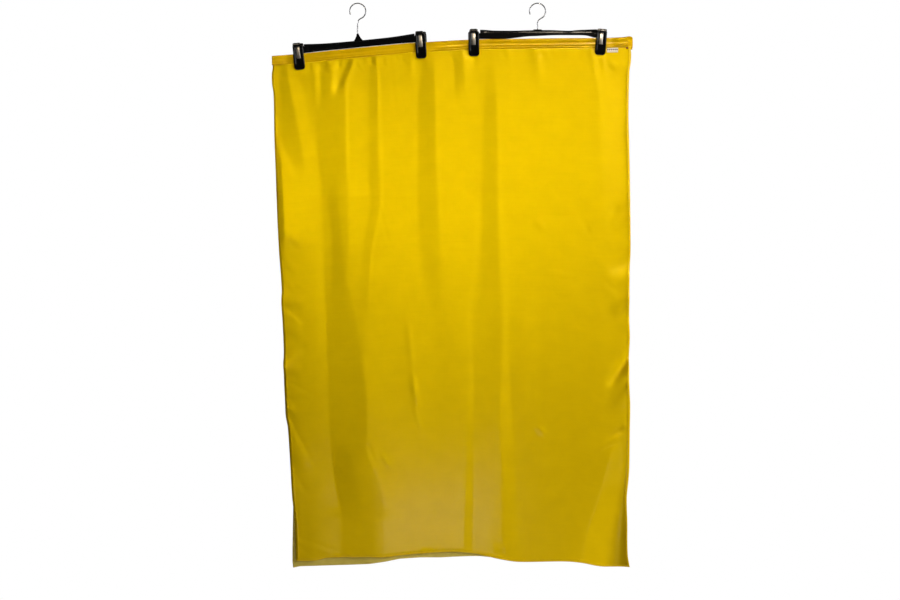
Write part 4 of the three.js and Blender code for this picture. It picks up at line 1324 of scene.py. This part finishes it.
def place_in_clip(name, points, faces, clip, facing, material):
    """A mesh from points given as (across, out from the clip's middle, up), set on its clip."""
    across, out, up = points.T
    up = np.where(up < 0, up * clip["stretch"], up)
    turned = math.radians(clip["lean"])
    x = clip["x"] + across * math.cos(turned) - up * math.sin(turned)
    z = clip["z"] + across * math.sin(turned) + up * math.cos(turned)
    if facing > 0:
        x = x + clip["back_shift"]
        faces = [face[::-1] for face in faces]
    placed = np.stack([x, facing * out, z], axis=-1) * MM
    piece = new_mesh(name, placed, faces, material)
    mend_facing(piece)
    return piece


def strip_mesh(name, clip):
    """The clip's spring: one steel strip over the bar, its two legs bowed out in the windows."""
    line = np.array([(y, z) for y, z in STRIP_LEG] + [(-y, z) for y, z in STRIP_LEG[::-1]], float)
    run = run_along(line)
    fine = np.linspace(0, run[-1], 90)
    y = read_curve(list(zip(run, line[:, 0])), fine)
    z = read_curve(list(zip(run, line[:, 1])), fine)
    slope = np.stack([np.gradient(y), np.gradient(z)])
    slope /= np.hypot(*slope)
    section = []
    for share in np.linspace(-1, 1, 9):
        lift = STRIP_FACE - 0.2 * abs(share) ** 6 + STRIP_CROWN * (1 - share ** 2)
        section.append((share * STRIP_HALF, lift))
    for share in np.linspace(1, -1, 5):
        lift = -STRIP_FACE + 0.15 * abs(share) ** 6 + STRIP_CROWN * (1 - share ** 2)
        section.append((share * STRIP_HALF, lift))
    points = []
    for i in range(len(fine)):
        for across, lift in section:
            points.append((across, y[i] - lift * slope[1, i], z[i] + lift * slope[0, i]))
    faces = tube_faces(len(fine), len(section), capped=True)
    return place_in_clip(name, np.array(points), faces, clip, -1, STRIP)


panel = make_panel()
back_hem = make_back_hem()
sleeve = make_sleeve()
stitches = make_stitches()
seam_shade = make_seam_shade()
label = make_label()

# Every piece, with the nodes that it replaces and its finish.
PIECES = [
    (panel, ["satin_panel"], "satin"),
    (sleeve, ["pole_sleeve"], "sleeve_satin"),
    (back_hem, [], "satin"),
    (stitches, [], "satin"),
    (seam_shade, [], "satin"),
    (label, ["sewn_label"], "woven_tape"),
]

for side, bar in BARS.items():
    body = moulded_bar(f"{side}_moulded_bar", bar)
    PIECES.append((body, [f"{side}_bar"], "black_plastic"))
    hook = path_piece(f"{side}_wire_hook", [hook_line(bar["x"], bar["z"], bar["tilt"])])
    grow(hook, wire_tree(), {"Radius": WIRE_RADIUS * MM, "Finish": WIRE})
    PIECES.append((hook, [f"{side}_hook"], "plated_wire"))
for clip in CLIPS:
    name = clip["name"]
    for part, facing in (("front", -1), ("back", 1)):
        jaw = jaw_mesh(f"{name}_{part}_shell", clip, facing)
        PIECES.append((jaw, [f"{name}_{part}_jaw"], "black_plastic"))
    strip = strip_mesh(f"{name}_strip", clip)
    PIECES.append((strip, [f"{name}_spring"], "spring_steel"))

for piece, replaced, slot in PIECES:
    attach(piece, "root")
    if replaced:
        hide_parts(*replaced)

# ------------------------------------------------------------------ camera, lights, floor, world

VIEW_WIDTH = 2.3175  # the width of the view at the flag
VIEW_MIDDLE = -0.7625  # the height that the camera looks at
DISTANCE = 4.6  # from the camera to the flag
SENSOR = 36.0
FLOOR_HEIGHT = -1.9
FLOOR_RADIUS = 2.05
FLOOR_FADE = (0.9, 2.0)  # how far from its middle it begins to fade, and where it is gone


def make_camera():
    """A level camera straight before the flag."""
    lens = bpy.data.cameras.new("camera")
    lens.sensor_width = SENSOR
    lens.lens = SENSOR * DISTANCE / VIEW_WIDTH
    camera = bpy.data.objects.new("camera", lens)
    camera.location = (0, -DISTANCE, VIEW_MIDDLE)
    camera.rotation_euler = (math.pi / 2, 0, 0)
    bpy.context.scene.collection.objects.link(camera)
    bpy.context.scene.camera = camera


def area_light(name, place, aim, size, power, spread=180, mirrored=True, card=False):
    """A softbox that the camera doesn't see; a narrow spread is a grid in front of it. One that
    isn't mirrored is bounced so widely that it leaves no highlight; a card is only mirrored."""
    lamp = bpy.data.lights.new(name, "AREA")
    lamp.shape = "RECTANGLE"
    lamp.size, lamp.size_y = size
    lamp.spread = math.radians(spread)
    lamp.energy = power
    lamp.color = hex_to_linear("ffecd2" if card else "ffffff")[:3]
    light = bpy.data.objects.new(name, lamp)
    light.location = place
    light.rotation_euler = (Vector(aim) - Vector(place)).to_track_quat("-Z", "Y").to_euler()
    light.visible_camera = False
    light.visible_glossy = mirrored
    light.visible_diffuse = not card
    bpy.context.scene.collection.objects.link(light)


def make_world():
    """White paper to the camera, and only a faint light on all things."""
    world = bpy.data.worlds.new("studio")
    bpy.context.scene.world = world
    world.use_nodes = True
    tree = world.node_tree
    tree.nodes.clear()
    path = node(tree, "ShaderNodeLightPath")
    soft = node(tree, "ShaderNodeBackground", {"Color": hex_to_linear("ffffff"), "Strength": 0.03})
    paper = node(tree, "ShaderNodeBackground", {"Color": hex_to_linear("ffffff"), "Strength": 1.0})
    both = node(tree, "ShaderNodeMixShader", {
        0: path.outputs["Is Camera Ray"], 1: soft.outputs[0], 2: paper.outputs[0],
    })
    node(tree, "ShaderNodeOutputWorld", {"Surface": both.outputs[0]})


def make_floor():
    """A round pale floor that fades out at its edge."""
    material, tree = new_material("pale_studio_floor")
    place = node(tree, "ShaderNodeTexCoord")
    reach = node(tree, "ShaderNodeVectorMath", {0: place.outputs["Object"]}, operation="LENGTH")
    fade = node(tree, "ShaderNodeMapRange", {
        "Value": reach.outputs["Value"], "From Min": FLOOR_FADE[0], "From Max": FLOOR_FADE[1],
    }, interpolation_type="SMOOTHSTEP")
    paint = node(tree, "ShaderNodeBsdfPrincipled", {
        "Base Color": hex_to_linear("f4f3f0"), "Roughness": 0.9,
    })
    clear = node(tree, "ShaderNodeBsdfTransparent")
    mixed = node(tree, "ShaderNodeMixShader", {
        0: fade.outputs["Result"], 1: paint.outputs[0], 2: clear.outputs[0],
    })
    node(tree, "ShaderNodeOutputMaterial", {"Surface": mixed.outputs[0]})
    mesh = bpy.data.meshes.new("floor")
    shape = bmesh.new()
    bmesh.ops.create_circle(shape, cap_ends=True, segments=96, radius=FLOOR_RADIUS)
    shape.to_mesh(mesh)
    shape.free()
    floor = bpy.data.objects.new("floor", mesh)
    floor.location = (0, 0, FLOOR_HEIGHT)
    bpy.context.scene.collection.objects.link(floor)
    mesh.materials.append(material)


make_camera()
make_world()
make_floor()
area_light("key_softbox", (1.9, -2.9, 0.3), (0.15, 0, -0.45), (1.0, 1.0), 27)
area_light("side_bounce", (3.2, -1.9, 0.3), (0.15, 0, -0.45), (1.0, 1.0), 41, mirrored=False)
area_light("grazing_bounce", (3.2, -0.9, -0.2), (0.0, 0, -0.6), (0.8, 1.2), 66, mirrored=False)
area_light(
    "middle_strip_light", (-0.3, -2.6, 1.5), (-0.2, 0, -0.53), (1.2, 0.15), 0.5, spread=14,
    mirrored=False,
)
area_light(
    "upper_strip_light", (0.2, -2.6, 1.8), (-0.1, 0, -0.38), (1.4, 0.15), 1.5, spread=22,
    mirrored=False,
)
area_light(
    "low_strip_light", (-0.1, -2.6, 1.0), (-0.05, 0, -1.05), (0.3, 0.6), 0.18, spread=14,
    mirrored=False,
)
area_light("low_softbox", (1.45, -3.0, -1.7), (0.3, 0, -1.3), (0.5, 0.34), 0.08, spread=60)
area_light("low_glow", (-0.09, -3.0, -1.7), (-0.05, 0, -1.35), (0.55, 0.3), 0.12, spread=40)
area_light("right_card", (0.55, -2.5, 1.07), (0.3, 0, -0.1), (0.4, 0.2), 13, card=True)
area_light("middle_card", (0.09, -2.5, 1.07), (0.06, 0, -0.1), (0.12, 0.2), 1.1, card=True)
area_light("left_card", (-0.66, -2.5, 1.04), (-0.39, 0, -0.1), (0.15, 0.2), 1.6, card=True)
area_light("rear_key_softbox", (-1.8, 2.9, 0.4), (0, 0, -0.6), (1.4, 1.4), 36)
area_light("rear_fill_softbox", (1.6, 3.6, -0.4), (0, 0, -0.8), (2.5, 2.0), 36)
bpy.context.scene.view_settings.view_transform = "Standard"
